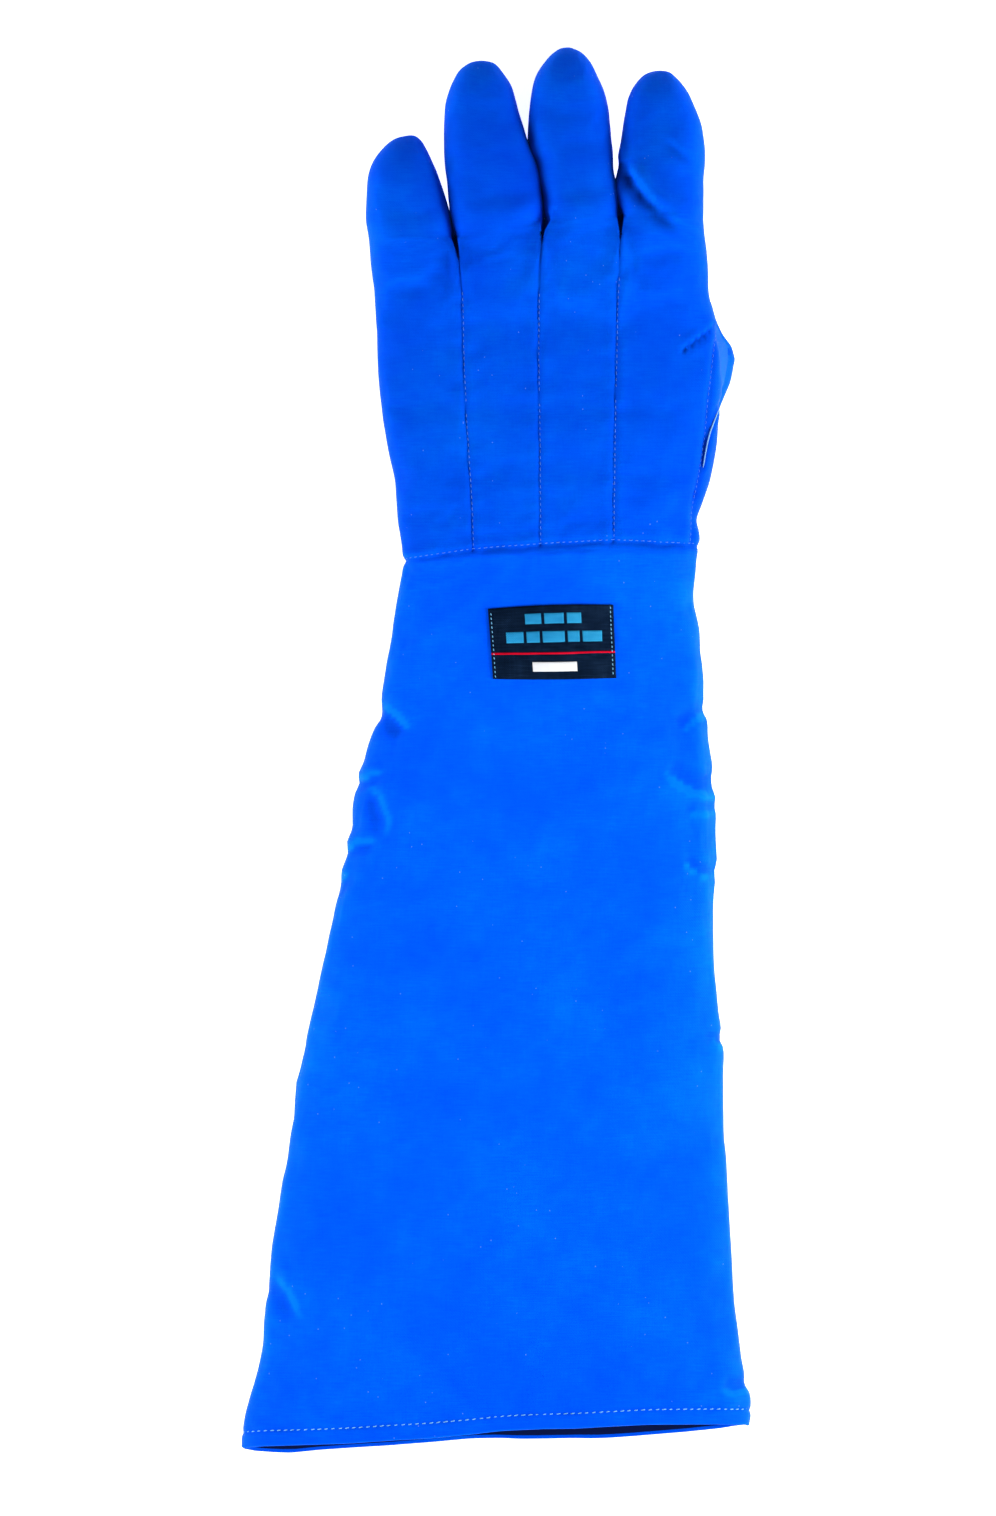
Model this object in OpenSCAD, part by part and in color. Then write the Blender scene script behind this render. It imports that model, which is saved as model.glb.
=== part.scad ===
// Long insulated glove for cryogenic work, left hand, lying on its palm side
// with the thumb folded under. Millimetres. +Y runs from the cuff to the
// fingertips, +Z is the back of the hand, +X is the thumb side. The origin is
// the centre of the cuff opening.

/* [Sleeve] */
// Distance from the cuff opening to the wrist seam
sleeve_length = 418; // [380:1:440]
// Flat width of the cuff opening
cuff_width = 241.5; // [220:0.5:260]
// Flat width of the sleeve at the elbow
elbow_width = 197; // [180:1:215]
// Flat width at the wrist seam
wrist_width = 140; // [125:1:150]
// Thickness of the sleeve where it lies open at the cuff
cuff_height = 46; // [42:1:50]
// Distance from the cuff opening to the elbow crease
elbow_y = 178.6; // [150:0.1:220]
// Sideways drift of the sleeve's centre line, cuff to wrist
sleeve_lean = 25.7; // [15:0.1:32]
// Slant of the cuff edge in degrees
cuff_slant = 3.25; // [0:0.25:5]

/* [Hand] */
// Flat width across the knuckles
hand_width = 158.6; // [150:0.1:165]
// Thickness of the hand at the knuckles
hand_height = 34; // [32:1:35]
// Slant of the wrist seam in degrees
wrist_slant = 2.9; // [0:0.1:4]

/* [Fingers] */
// Thickness of a finger at its base
finger_height = 28; // [26:0.5:29]
// Downward slope of the relaxed fingers in degrees
finger_droop = 12; // [4:1:14]
// Length from base crease to tip: little, ring, middle, index
finger_lengths = [51.6, 80.7, 83.9, 73.2];
// Share of each finger's length before its middle crease
mid_crease = 0.47; // [0.42:0.01:0.52]
// Angle of the notch under a finger's base crease, degrees
base_bend = 70; // [40:1:70]
// Angle of the notch under a finger's middle crease, degrees
mid_bend = 75; // [40:1:75]

/* [Thumb] */
// Length of the thumb beyond its folded base
thumb_length = 84; // [74:1:88]
// Thickness of the empty thumb lying under the palm
thumb_height = 18; // [15:0.5:18]

/* [Layers] */
// Outer woven shell
shell_t = 0.8; // [0.5:0.1:1]
// Waterproof barrier membrane
barrier_t = 0.3; // [0.2:0.05:0.4]
// Padded insulation
insulation_t = 3.2; // [2.5:0.1:3.4]
// Brushed inner lining
liner_t = 0.8; // [0.5:0.1:1]
// Depth of the folded hem at the cuff
hem_depth = 9.5; // [6:0.5:14]

/* [Label] */
// Width of the woven label
label_w = 59; // [40:1:70]
// Height of the woven label
label_h = 34.5; // [25:0.5:40]

/* [Hidden] */

shell_blue = [0.00, 0.36, 0.98];
panel_blue = [0.02, 0.33, 0.93];
barrier_white = [0.88, 0.90, 0.93];
padding_white = [0.93, 0.94, 0.95];
liner_navy = [0.05, 0.09, 0.30];
thread_pale = [0.62, 0.80, 0.95];
label_black = [0.03, 0.04, 0.07];

// heights in the tables are measured from the resting plane, at z = -rest
rest = cuff_height / 2;
layer_gap = 0.08;    // air between layers
seam_gap = 0.3;      // each part stops this far from a crease
knuckle_gap = 0.6;   // the same at the fingers' base creases

// span: depth of a layer's outer and inner face below the outside surface
function span_below(span, thickness) =
  [span[1] + layer_gap, span[1] + layer_gap + thickness];
shell_span = [0, shell_t];
barrier_span = span_below(shell_span, barrier_t);
padding_span = span_below(barrier_span, insulation_t);
liner_span = span_below(padding_span, liner_t);
thread_span = [-0.5, -0.08];   // thread stands proud of the surface

function lerp(a, b, t) = a + (b - a) * t;
function reversed(list) = [for (i = [len(list) - 1:-1:0]) list[i]];
// height of a rounded section at s = -1..1 across its width
function dome(s, power) = pow(max(0, 1 - pow(abs(s), power)), 1 / power);

// ---- closed slab between two grids of points ---------------------------------
// Each grid is rows of points. wrap joins the last point of a row to its first.
// cap holds two points that close the last row of the outer and inner grids.
module slab(outer, inner, wrap = false, cap = []) {
  last = len(outer) - 1;
  cols = len(outer[0]);
  count = (last + 1) * cols;
  end = cols - 1;
  last_quad = wrap ? end : end - 1;
  capped = len(cap) == 2;
  cap_out = 2 * count;
  cap_in = cap_out + 1;
  function o(i, j) = i * cols + (j % cols);
  function q(i, j) = count + o(i, j);
  points = concat([for (row = outer) each row], [for (row = inner) each row], cap);
  faces = concat(
    // outer and inner skins
    [for (i = [0:last - 1]) for (j = [0:last_quad]) each [
      [o(i, j), o(i + 1, j), o(i + 1, j + 1)], [o(i, j), o(i + 1, j + 1), o(i, j + 1)],
      [q(i, j), q(i + 1, j + 1), q(i + 1, j)], [q(i, j), q(i, j + 1), q(i + 1, j + 1)]]],
    // rim at the first row
    [for (j = [0:last_quad]) each [
      [o(0, j), o(0, j + 1), q(0, j + 1)], [o(0, j), q(0, j + 1), q(0, j)]]],
    // cap or rim at the last row
    capped ? [for (j = [0:last_quad]) each [
      [o(last, j), cap_out, o(last, j + 1)], [q(last, j), q(last, j + 1), cap_in]]]
    : [for (j = [0:last_quad]) each [
      [o(last, j + 1), o(last, j), q(last, j)],
      [o(last, j + 1), q(last, j), q(last, j + 1)]]],
    // side edges of an open slab
    wrap ? [] : [for (i = [0:last - 1]) each [
      [o(i + 1, 0), o(i, 0), q(i, 0)], [o(i + 1, 0), q(i, 0), q(i + 1, 0)],
      [o(i, end), o(i + 1, end), q(i + 1, end)],
      [o(i, end), q(i + 1, end), q(i, end)]]],
    (wrap || !capped) ? [] : [
      [cap_out, o(last, 0), q(last, 0)], [cap_out, q(last, 0), cap_in],
      [o(last, end), cap_out, cap_in], [o(last, end), cap_in, q(last, end)]]);
  polyhedron(points = points, faces = faces, convexity = 6);
}

// ---- sections given as stations ----------------------------------------------
// section: list of [s, side], with s = -1..1 across and side 1 above, -1 below
// s values are closer together near the edges
function spread(steps) = [for (i = [0:steps]) -cos(180 * i / steps)];
function back_half(across) = [for (s = across) [s, 1]];
function palm_half(across) = [for (s = reversed(across)) [s, -1]];
function all_round(across) =
  concat(back_half(across), [for (i = [len(across) - 2:-1:1]) [across[i], -1]]);

// form: [dome power above, dome power below, whether the underside is pressed flat]
sleeve_form = [2.5, 3.2, true];
finger_form = [2.3, 2.3, false];
thumb_form = [2.4, 2.4, false];
hand_power = 3.0;

// station: [x, y, z, heading, half width, height above, depth below,
//           mitre above, mitre below]
function station_point(station, mark, depth, form) =
  let (s = mark[0],
       above = mark[1] > 0,
       below_dome = dome(s, form[1]),
       height = above ? (station[5] - depth) * dome(s, form[0])
         : -(station[6] - depth) * (form[2] ? min(1, 1.08 * below_dome) : below_dome),
       forward = above ? station[7] * height : -station[8] * height,
       sideways = s * (station[4] - depth),
       c = cos(station[3]),
       n = sin(station[3]))
  [station[0] + c * sideways - n * forward,
   station[1] + n * sideways + c * forward,
   station[2] + height - rest];
function station_grid(stations, section, depth, form) =
  [for (station = stations)
    [for (mark = section) station_point(station, mark, depth, form)]];

// ---- sleeve -------------------------------------------------------------------
sleeve_across = spread(10);
// the table is drawn for this length and lean, then scaled
table_length = 418;
table_lean = 25.7;
length_scale = sleeve_length / table_length;
lean_scale = sleeve_lean / table_lean;
elbow_margin = 28;   // from the elbow crease to the rows beside it
wrist_z = 31;
wrist_half_height = 16;
function upper_half_width(t) = lerp(cuff_width, elbow_width, t) / 2;
function fore_half_width(t) = lerp(elbow_width, wrist_width, t) / 2;
// [y, centre x, half width, centre z, height above, depth below]
sleeve_rows = [
  [0, 0.3, cuff_width / 2 - 0.7, rest, rest, rest],
  [36, 2.4, upper_half_width(0.28), rest, rest, rest],
  [100, 4.2, upper_half_width(0.60), rest, rest, rest],
  [(elbow_y - elbow_margin) / length_scale, 6.8, upper_half_width(0.86), rest, rest, rest],
  [elbow_y / length_scale, 8.0, elbow_width / 2, rest, rest, rest],
  [(elbow_y + elbow_margin) / length_scale, 10.0, fore_half_width(0.13), rest, rest, rest],
  [270, 14.7, fore_half_width(0.414), rest, rest - 1.5, rest],
  [330, 19.7, fore_half_width(0.705), 24, 19.5, 22.5],
  [382, 23.3, fore_half_width(0.93), 28, 17, 18],
  [table_length, table_lean, wrist_width / 2, wrist_z, wrist_half_height, wrist_half_height]];
function sleeve_station(i, heading = 0, mitre_above = 0, mitre_below = 0, shift = 0) =
  let (row = sleeve_rows[i])
  [row[1] * lean_scale, row[0] * length_scale + shift, row[3], heading,
   row[2], row[4], row[5], mitre_above, mitre_below];

// creases are notched by slanting the ends of the parts on both sides
elbow_mitre = tan(45);
wrist_mitre_above = tan(20);
wrist_mitre_below = tan(22.5);

cuff_edge = sleeve_station(0, cuff_slant);
cuff_next = sleeve_station(1, cuff_slant / 2);
// station at a distance from the cuff edge, up to the next row
function cuff_at(distance) =
  lerp(cuff_edge, cuff_next, distance / (cuff_next[1] - cuff_edge[1]));
upper_rest = [
  cuff_next,
  sleeve_station(2),
  sleeve_station(3),
  sleeve_station(4, mitre_above = -elbow_mitre, shift = -seam_gap)];
upper_outer = concat([cuff_edge, cuff_at(hem_depth + 0.5)], upper_rest);
// the inner layers start above the folded hem
upper_inner = concat([cuff_at(hem_depth + 0.8)], upper_rest);
forearm = [
  sleeve_station(4, mitre_above = elbow_mitre, shift = seam_gap),
  sleeve_station(5),
  sleeve_station(6),
  sleeve_station(7, wrist_slant / 2),
  sleeve_station(8, wrist_slant),
  sleeve_station(9, wrist_slant, -wrist_mitre_above, -wrist_mitre_below, -seam_gap)];

module sleeve_slab(stations, section, span, wrap = false) {
  slab(station_grid(stations, section, span[0], sleeve_form),
       station_grid(stations, section, span[1], sleeve_form), wrap = wrap);
}
module sleeve_back(stations) sleeve_slab(stations, back_half(sleeve_across), shell_span);
module sleeve_palm(stations) sleeve_slab(stations, palm_half(sleeve_across), shell_span);
module sleeve_layer(stations, span)
  sleeve_slab(stations, all_round(sleeve_across), span, wrap = true);

module upper_sleeve_back_panel() { color(shell_blue) sleeve_back(upper_outer); }
module upper_sleeve_palm_panel() { color(panel_blue) sleeve_palm(upper_outer); }
module upper_sleeve_barrier() { color(barrier_white) sleeve_layer(upper_inner, barrier_span); }
module upper_sleeve_insulation() { color(padding_white) sleeve_layer(upper_inner, padding_span); }
module upper_sleeve_liner() { color(liner_navy) sleeve_layer(upper_inner, liner_span); }
// the shell turned inwards at the opening
module cuff_hem() {
  top = shell_t + 2 * layer_gap;
  color(shell_blue)
    sleeve_layer([cuff_at(0.2), cuff_at(hem_depth)], [top, top + shell_t]);
}
// thread across the back along the hem's edge
module hem_stitching() {
  half = 0.45;
  color(thread_pale)
    sleeve_slab([cuff_at(hem_depth - half), cuff_at(hem_depth + half)],
                back_half(sleeve_across), thread_span);
}
module forearm_back_panel() { color(shell_blue) sleeve_back(forearm); }
module forearm_palm_panel() { color(panel_blue) sleeve_palm(forearm); }
module forearm_barrier() { color(barrier_white) sleeve_layer(forearm, barrier_span); }
module forearm_insulation() { color(padding_white) sleeve_layer(forearm, padding_span); }
module forearm_liner() { color(liner_navy) sleeve_layer(forearm, liner_span); }

// ---- label --------------------------------------------------------------------
label_centre = [26.6, 375.7];
label_turn = 2.3;
// outside height of the forearm's back at x, y
function forearm_top(x, y) =
  let (table_y = y / length_scale,
       k = table_y < sleeve_rows[7][0] ? 6 : table_y < sleeve_rows[8][0] ? 7 : 8,
       start = sleeve_rows[k],
       next = sleeve_rows[k + 1],
       row = lerp(start, next, (table_y - start[0]) / (next[0] - start[0])))
  row[3] + row[4] * dome((x - row[1] * lean_scale) / row[2], sleeve_form[0]) - rest;
// u and v run -1..1 across the label's width and height
function label_point(u, v, lift) =
  let (across = u * label_w / 2,
       along = v * label_h / 2,
       x = label_centre[0] + across * cos(label_turn) - along * sin(label_turn),
       y = label_centre[1] + across * sin(label_turn) + along * cos(label_turn))
  [x, y, forearm_top(x, y) + lift];
function label_grid(us, vs, lift) = [for (v = vs) [for (u = us) label_point(u, v, lift)]];

module label() {
  us = [-1, -0.6, -0.2, 0.2, 0.6, 1];
  vs = [-1, -0.33, 0.33, 1];
  color(label_black) slab(label_grid(us, vs, 0.9), label_grid(us, vs, 0.25));
}
// one line of thread along each side edge of the label
module label_stitching() {
  vs = [-0.97, -0.33, 0.33, 0.97];
  half = 0.012;
  color(thread_pale) for (u = [-0.955, 0.955])
    slab(label_grid([u - half, u + half], vs, 1.35),
         label_grid([u - half, u + half], vs, 0.95));
}

// ---- hand ---------------------------------------------------------------------
knuckle_x = 20.2;
knuckle_z = 36.8;
knuckle_roll = 3.5;   // rise of the thumb-side edge above the centre
hand_half = hand_height / 2;
// [share of length, centre z, height above, depth below, roll, half width, centre x]
hand_rows = [
  [0, wrist_z, wrist_half_height, wrist_half_height, 0, wrist_width / 2, sleeve_lean],
  [0.22, 34.5, hand_half, hand_half - 0.9, 0.6, 72.2, 25.2],
  [0.48, knuckle_z, hand_half + 0.5, hand_half - 0.4, 1.6, 77.2, 24.2],
  [0.75, knuckle_z, hand_half + 0.3, hand_half - 0.2, 2.6, 79.8, 23.6],
  [1, knuckle_z, hand_half, hand_half, knuckle_roll, hand_width / 2, knuckle_x]];
hand_last = len(hand_rows) - 1;

// edges and seams of the back strips, as shares of the width from the little-finger side
seam_wrist = [0, 0.237, 0.468, 0.712, 1];
seam_knuckle = [0, 0.2515, 0.522, 0.747, 1];
// points across each strip, as shares of the strip's width
strip_split = [[0, 0.1, 0.42, 1], [0, 0.5, 1], [0, 0.5, 1], [0, 0.58, 0.9, 1]];
function seam_share(i, seam) = lerp(seam_wrist[seam], seam_knuckle[seam], hand_rows[i][0]);
// s values at hand row i, across strip k and across the whole hand
function strip_across(i, k) =
  [for (f = strip_split[k]) 2 * lerp(seam_share(i, k), seam_share(i, k + 1), f) - 1];
function hand_across(i) =
  concat([-1], [for (k = [0:3]) let (marks = strip_across(i, k))
    for (j = [1:len(marks) - 1]) marks[j]]);

// little, ring, middle, index: [base crease x, base crease y, base width, heading]
fingers = [
  [-38.7, 564.3, 39.6, 5.7],
  [1.7, 572.4, 41.4, 8.5],
  [41.8, 575.2, 34.0, 7.7],
  [79.6, 573.8, 38.4, -1.0]];
crease_reach = 4.2;   // a crease line runs this far past its finger
base_mitre = tan(base_bend / 2);
mid_mitre = tan(mid_bend / 2);

function crease_y(k, x) = fingers[k][1] + tan(fingers[k][3]) * (x - fingers[k][0]);
// end line of the hand: the crease lines, taking the lower one at a crotch
function hand_end_y(x) =
  min([for (k = [0:3])
    let (offset = x - fingers[k][0], reach = fingers[k][2] / 2 + crease_reach)
    if ((k == 0 || offset > -reach) && (k == 3 || offset < reach)) crease_y(k, x)]);
function hand_point(i, s, above, depth) =
  let (row = hand_rows[i],
       arch = dome(s, hand_power),
       height = above ? (row[2] - depth) * arch : -(row[3] - depth) * arch,
       x = row[6] + s * (row[5] - depth),
       start_y = sleeve_length + tan(wrist_slant) * (x - sleeve_lean) + seam_gap
         + (above ? wrist_mitre_above : -wrist_mitre_below) * height,
       end_y = hand_end_y(x) - knuckle_gap + (above ? 0 : base_mitre * height))
  [x, lerp(start_y, end_y, row[0]), row[1] + row[4] * s + height - rest];
function hand_row(i, across, above, depth) =
  [for (s = across) hand_point(i, s, above, depth)];
function strip_grid(k, depth) =
  [for (i = [0:hand_last]) hand_row(i, strip_across(i, k), true, depth)];
function palm_grid(depth) =
  [for (i = [0:hand_last]) hand_row(i, reversed(hand_across(i)), false, depth)];
function hand_round_grid(depth) =
  [for (i = [0:hand_last])
    let (across = hand_across(i),
         inside = [for (j = [len(across) - 2:-1:1]) across[j]])
    concat(hand_row(i, across, true, depth), hand_row(i, inside, false, depth))];

module strip(k) { slab(strip_grid(k, shell_span[0]), strip_grid(k, shell_span[1])); }
// passage from the hand into the thumb, on the thumb-side edge
module thumb_window() { translate([100, 484, 34 - rest]) cube([22, 54, 10], center = true); }
module hand_layer(span) {
  difference() {
    slab(hand_round_grid(span[0]), hand_round_grid(span[1]), wrap = true);
    thumb_window();
  }
}

module little_back_strip() { color(shell_blue) strip(0); }
module ring_back_strip() { color(shell_blue) strip(1); }
module middle_back_strip() { color(shell_blue) strip(2); }
module index_back_strip() {
  color(shell_blue) difference() {
    strip(3);
    thumb_window();
  }
}
module palm_panel() {
  color(panel_blue) difference() {
    slab(palm_grid(shell_span[0]), palm_grid(shell_span[1]));
    thumb_window();
  }
}
module hand_barrier() { color(barrier_white) hand_layer(barrier_span); }
module hand_insulation() { color(padding_white) hand_layer(padding_span); }
module hand_liner() { color(liner_navy) hand_layer(liner_span); }

// point on the hand's back, a share t of the way from hand row 0 to row 1
function wrist_point(s_start, s_next, depth, t) =
  lerp(hand_point(0, s_start, true, depth), hand_point(1, s_next, true, depth), t);
// thread along the hand's edge of the wrist seam
module wrist_stitching() {
  starts = hand_across(0);
  nexts = hand_across(1);
  function grid(depth) =
    [for (v = [0.008, 0.016]) [for (j = [1:len(starts) - 2])
      wrist_point(starts[j], nexts[j], depth, v / hand_rows[1][0])]];
  color(thread_pale) slab(grid(thread_span[0]), grid(thread_span[1]));
}
// thread along the three seams of the back
module back_seam_stitching() {
  half = [0.35, 0, 0];
  function seam_s(k, i) = 2 * seam_share(i, k) - 1;
  function grid(k, depth) =
    [for (i = [0:hand_last])
      let (middle = i == 0 ? wrist_point(seam_s(k, 0), seam_s(k, 1), depth, 0.1)
             : hand_point(i, seam_s(k, i), true, depth))
      [middle - half, middle + half]];
  color(thread_pale) for (k = [1:3]) slab(grid(k, thread_span[0]), grid(k, -0.12));
}

// ---- fingers --------------------------------------------------------------------
finger_names = ["little", "ring", "middle", "index"];
finger_across = spread(8);
finger_back = back_half(finger_across);
finger_palm = palm_half(finger_across);
finger_round = all_round(finger_across);
tip_round = 20;   // length of the rounded end
// point on finger k's centre line at a distance from its base crease
function finger_centre(k, distance) =
  let (finger = fingers[k],
       crease_z = knuckle_z + knuckle_roll * (finger[0] - knuckle_x) / (hand_width / 2))
  [finger[0] - sin(finger[3]) * distance,
   finger[1] + cos(finger[3]) * distance,
   crease_z - tan(finger_droop) * distance];
// width and height are shares of the finger's size at its base
function finger_station(k, distance, width, height, mitre_below = 0) =
  let (half_height = finger_height / 2 * height)
  concat(finger_centre(k, distance),
    [fingers[k][3], fingers[k][2] / 2 * width, half_height, half_height, 0, mitre_below]);
function middle_at(k) = finger_lengths[k] * mid_crease;
function base_stations(k) = [
  finger_station(k, knuckle_gap, 1, 1, base_mitre),
  finger_station(k, middle_at(k) / 2, 1, 0.97),
  finger_station(k, middle_at(k) - seam_gap, 0.985, 0.94, -mid_mitre)];
// rounded end: [angle along, angle for width, angle for height]
tip_angles = [[24, 20, 18], [48, 46, 36], [68, 67, 58]];
function tip_stations(k, depth) = concat(
  [finger_station(k, middle_at(k) + seam_gap, 0.985, 0.94, mid_mitre),
   finger_station(k, max(middle_at(k) + 12, finger_lengths[k] - tip_round - 4), 0.975, 0.90)],
  [for (a = tip_angles)
    finger_station(k, finger_lengths[k] - depth - tip_round * (1 - sin(a[0])),
                   0.95 * cos(a[1]), 0.88 * cos(a[2]))]);
// layers thin out where the tip closes, so they never cross
tip_thinning = [1, 1, 1, 0.8, 0.45];
function tip_grid(k, section, depth) =
  let (stations = tip_stations(k, depth))
  [for (i = [0:len(stations) - 1]) [for (mark = section)
    station_point(stations[i], mark, depth * tip_thinning[i], finger_form)]];
function tip_cap(k, depth) = finger_centre(k, finger_lengths[k] - depth) - [0, 0, rest];

module finger_base(k, section, span, wrap = false) {
  slab(station_grid(base_stations(k), section, span[0], finger_form),
       station_grid(base_stations(k), section, span[1], finger_form), wrap = wrap);
}
module finger_tip(k, section, span, wrap = false) {
  slab(tip_grid(k, section, span[0]), tip_grid(k, section, span[1]), wrap = wrap,
       cap = [tip_cap(k, span[0]), tip_cap(k, span[1])]);
}

module base_back_panel(k) { color(shell_blue) finger_base(k, finger_back, shell_span); }
module base_palm_panel(k) { color(panel_blue) finger_base(k, finger_palm, shell_span); }
module base_insulation(k) { color(padding_white) finger_base(k, finger_round, padding_span, true); }
module base_liner(k) { color(liner_navy) finger_base(k, finger_round, liner_span, true); }
module tip_back_panel(k) { color(shell_blue) finger_tip(k, finger_back, shell_span); }
module tip_palm_panel(k) { color(panel_blue) finger_tip(k, finger_palm, shell_span); }
module tip_insulation(k) { color(padding_white) finger_tip(k, finger_round, padding_span, true); }
module tip_liner(k) { color(liner_navy) finger_tip(k, finger_round, liner_span, true); }

// ---- thumb ----------------------------------------------------------------------
thumb_across = spread(8);
thumb_half = thumb_height / 2;
thumb_z = thumb_half + 0.4;
thumb_heading = 32;
// the thumb stretches from its folded base; the table is drawn for a length of 84
thumb_base = [107, 478];
thumb_tip = [48.3, 544.2];
function thumb_place(point) = thumb_base + (point - thumb_base) * thumb_length / 84;
// from the base to the tip: [x, y, z, heading, half width, half height,
//   setback from the tip and inset from the sides, per mm of layer depth]
thumb_rows = [
  [107.0, 478, 8.6, 80, 41, 7.0, 0, 1],
  [97.5, 481, 9.0, 74, 35.5, 8.2, 0, 1],
  [87.0, 488, thumb_z, 63, 28.5, thumb_half, 0, 1],
  [76.5, 501, thumb_z, 47, 23.5, thumb_half, 0, 1],
  [65.5, 517, thumb_z, 36, 20.5, thumb_half, 0, 1],
  [58.5, 528, thumb_z, 33, 18.5, thumb_half * 0.97, 0, 1],
  [53.4, 536, thumb_z, thumb_heading, 14.5, thumb_half * 0.86, 0.15, 0.95],
  [50.2, 541, thumb_z, thumb_heading, 8.5, thumb_half * 0.62, 0.6, 0.7]];
// a point moved back from the tip along the thumb
function thumb_behind(point, distance) =
  thumb_place(point) + distance * [sin(thumb_heading), -cos(thumb_heading)];
function thumb_grid(section, depth) =
  [for (row = thumb_rows)
    let (centre = thumb_behind([row[0], row[1]], row[6] * depth),
         station = concat(centre, [row[2], row[3], row[4], row[5], row[5], 0, 0]))
    [for (mark = section) station_point(station, mark, depth * row[7], thumb_form)]];
function thumb_cap(depth) = concat(thumb_behind(thumb_tip, depth), [thumb_z - rest]);
// the inner grid goes first here, unlike in the other parts
module thumb_part(section, span, wrap = false) {
  slab(thumb_grid(section, span[1]), thumb_grid(section, span[0]), wrap = wrap,
       cap = [thumb_cap(span[1]), thumb_cap(span[0])]);
}

// folded under, the thumb's back faces down and its palm side faces up
module thumb_back_panel() { color(shell_blue) thumb_part(palm_half(thumb_across), shell_span); }
module thumb_palm_panel() { color(panel_blue) thumb_part(back_half(thumb_across), shell_span); }
module thumb_insulation() {
  color(padding_white) thumb_part(all_round(thumb_across), padding_span, true);
}
module thumb_liner() {
  color(liner_navy) thumb_part(all_round(thumb_across), liner_span + [0.1, 0.1], true);
}

upper_sleeve_back_panel();
upper_sleeve_palm_panel();
upper_sleeve_barrier();
upper_sleeve_insulation();
upper_sleeve_liner();
cuff_hem();
hem_stitching();
forearm_back_panel();
forearm_palm_panel();
forearm_barrier();
forearm_insulation();
forearm_liner();
label();
label_stitching();
little_back_strip();
ring_back_strip();
middle_back_strip();
index_back_strip();
palm_panel();
hand_barrier();
hand_insulation();
hand_liner();
wrist_stitching();
back_seam_stitching();
for (k = [0:3]) {
  name = finger_names[k];
  base_back_panel(k);
  base_palm_panel(k);
  base_insulation(k);
  base_liner(k);
  tip_back_panel(k);
  tip_palm_panel(k);
  tip_insulation(k);
  tip_liner(k);
}
thumb_back_panel();
thumb_palm_panel();
thumb_insulation();
thumb_liner();
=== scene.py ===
import bpy
import math
import numpy as np
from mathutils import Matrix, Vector
from mathutils.bvhtree import BVHTree


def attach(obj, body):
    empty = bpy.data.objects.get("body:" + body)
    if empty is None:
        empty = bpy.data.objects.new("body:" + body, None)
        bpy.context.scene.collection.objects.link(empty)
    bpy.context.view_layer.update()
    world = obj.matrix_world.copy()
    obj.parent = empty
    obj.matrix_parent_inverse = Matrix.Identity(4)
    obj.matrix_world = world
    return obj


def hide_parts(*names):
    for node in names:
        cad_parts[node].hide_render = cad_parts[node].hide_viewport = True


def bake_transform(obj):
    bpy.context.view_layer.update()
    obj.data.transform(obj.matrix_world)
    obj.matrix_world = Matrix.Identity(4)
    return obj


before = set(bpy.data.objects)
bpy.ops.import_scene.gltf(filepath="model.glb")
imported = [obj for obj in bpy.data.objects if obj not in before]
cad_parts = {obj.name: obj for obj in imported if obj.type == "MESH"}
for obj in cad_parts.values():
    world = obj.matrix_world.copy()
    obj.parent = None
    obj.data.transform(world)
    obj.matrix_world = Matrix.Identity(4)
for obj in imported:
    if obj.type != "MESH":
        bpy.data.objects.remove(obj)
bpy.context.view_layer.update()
MM = 0.001
TABLE = 23.0          # the resting plane is 23 mm under the frame's origin
M = 32                # columns in each of the four strips of the hand
NS, NH, NF = 224, 84, 54
NC = 4 * M
NAMES = ["little", "ring", "middle", "index"]
CREASE = [[-38.7, 564.3, 5.7], [1.7, 572.4, 8.5], [41.8, 575.2, 7.7], [79.6, 573.8, -1.0]]
LENGTH = [51.6, 80.7, 83.9, 73.2]
DROOP = math.tan(math.radians(12))


# ---------------------------------------------------------------- small tools
def smooth(xs, ys, x):
    xs, ys = np.asarray(xs, float), np.asarray(ys, float)
    x = np.clip(np.asarray(x, float), xs[0], xs[-1])
    h = np.diff(xs)
    d = np.diff(ys) / h
    m = np.empty_like(ys)
    m[0], m[-1] = d[0], d[-1]
    m[1:-1] = (d[:-1] * h[1:] + d[1:] * h[:-1]) / (h[:-1] + h[1:])
    i = np.clip(np.searchsorted(xs, x) - 1, 0, len(h) - 1)
    t = (x - xs[i]) / h[i]
    return ((2 * t**3 - 3 * t**2 + 1) * ys[i] + (t**3 - 2 * t**2 + t) * h[i] * m[i]
            + (3 * t**2 - 2 * t**3) * ys[i + 1] + (t**3 - t**2) * h[i] * m[i + 1])


def path(points):
    """A smooth curve through the points, as a function of its share of length."""
    p = np.array(points, float)
    s = np.r_[0, np.cumsum(np.hypot(*np.diff(p, axis=0).T))]
    u = np.linspace(0, s[-1], 500)
    q = np.c_[smooth(s, p[:, 0], u), smooth(s, p[:, 1], u)]
    length = np.r_[0, np.cumsum(np.hypot(*np.diff(q, axis=0).T))]

    def at(t):
        t = np.asarray(t, float) * length[-1]
        return np.stack([np.interp(t, length, q[:, 0]), np.interp(t, length, q[:, 1])], -1)
    return at


def step(x):
    x = np.clip(x, 0, 1)
    return x * x * (3 - 2 * x)


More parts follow.
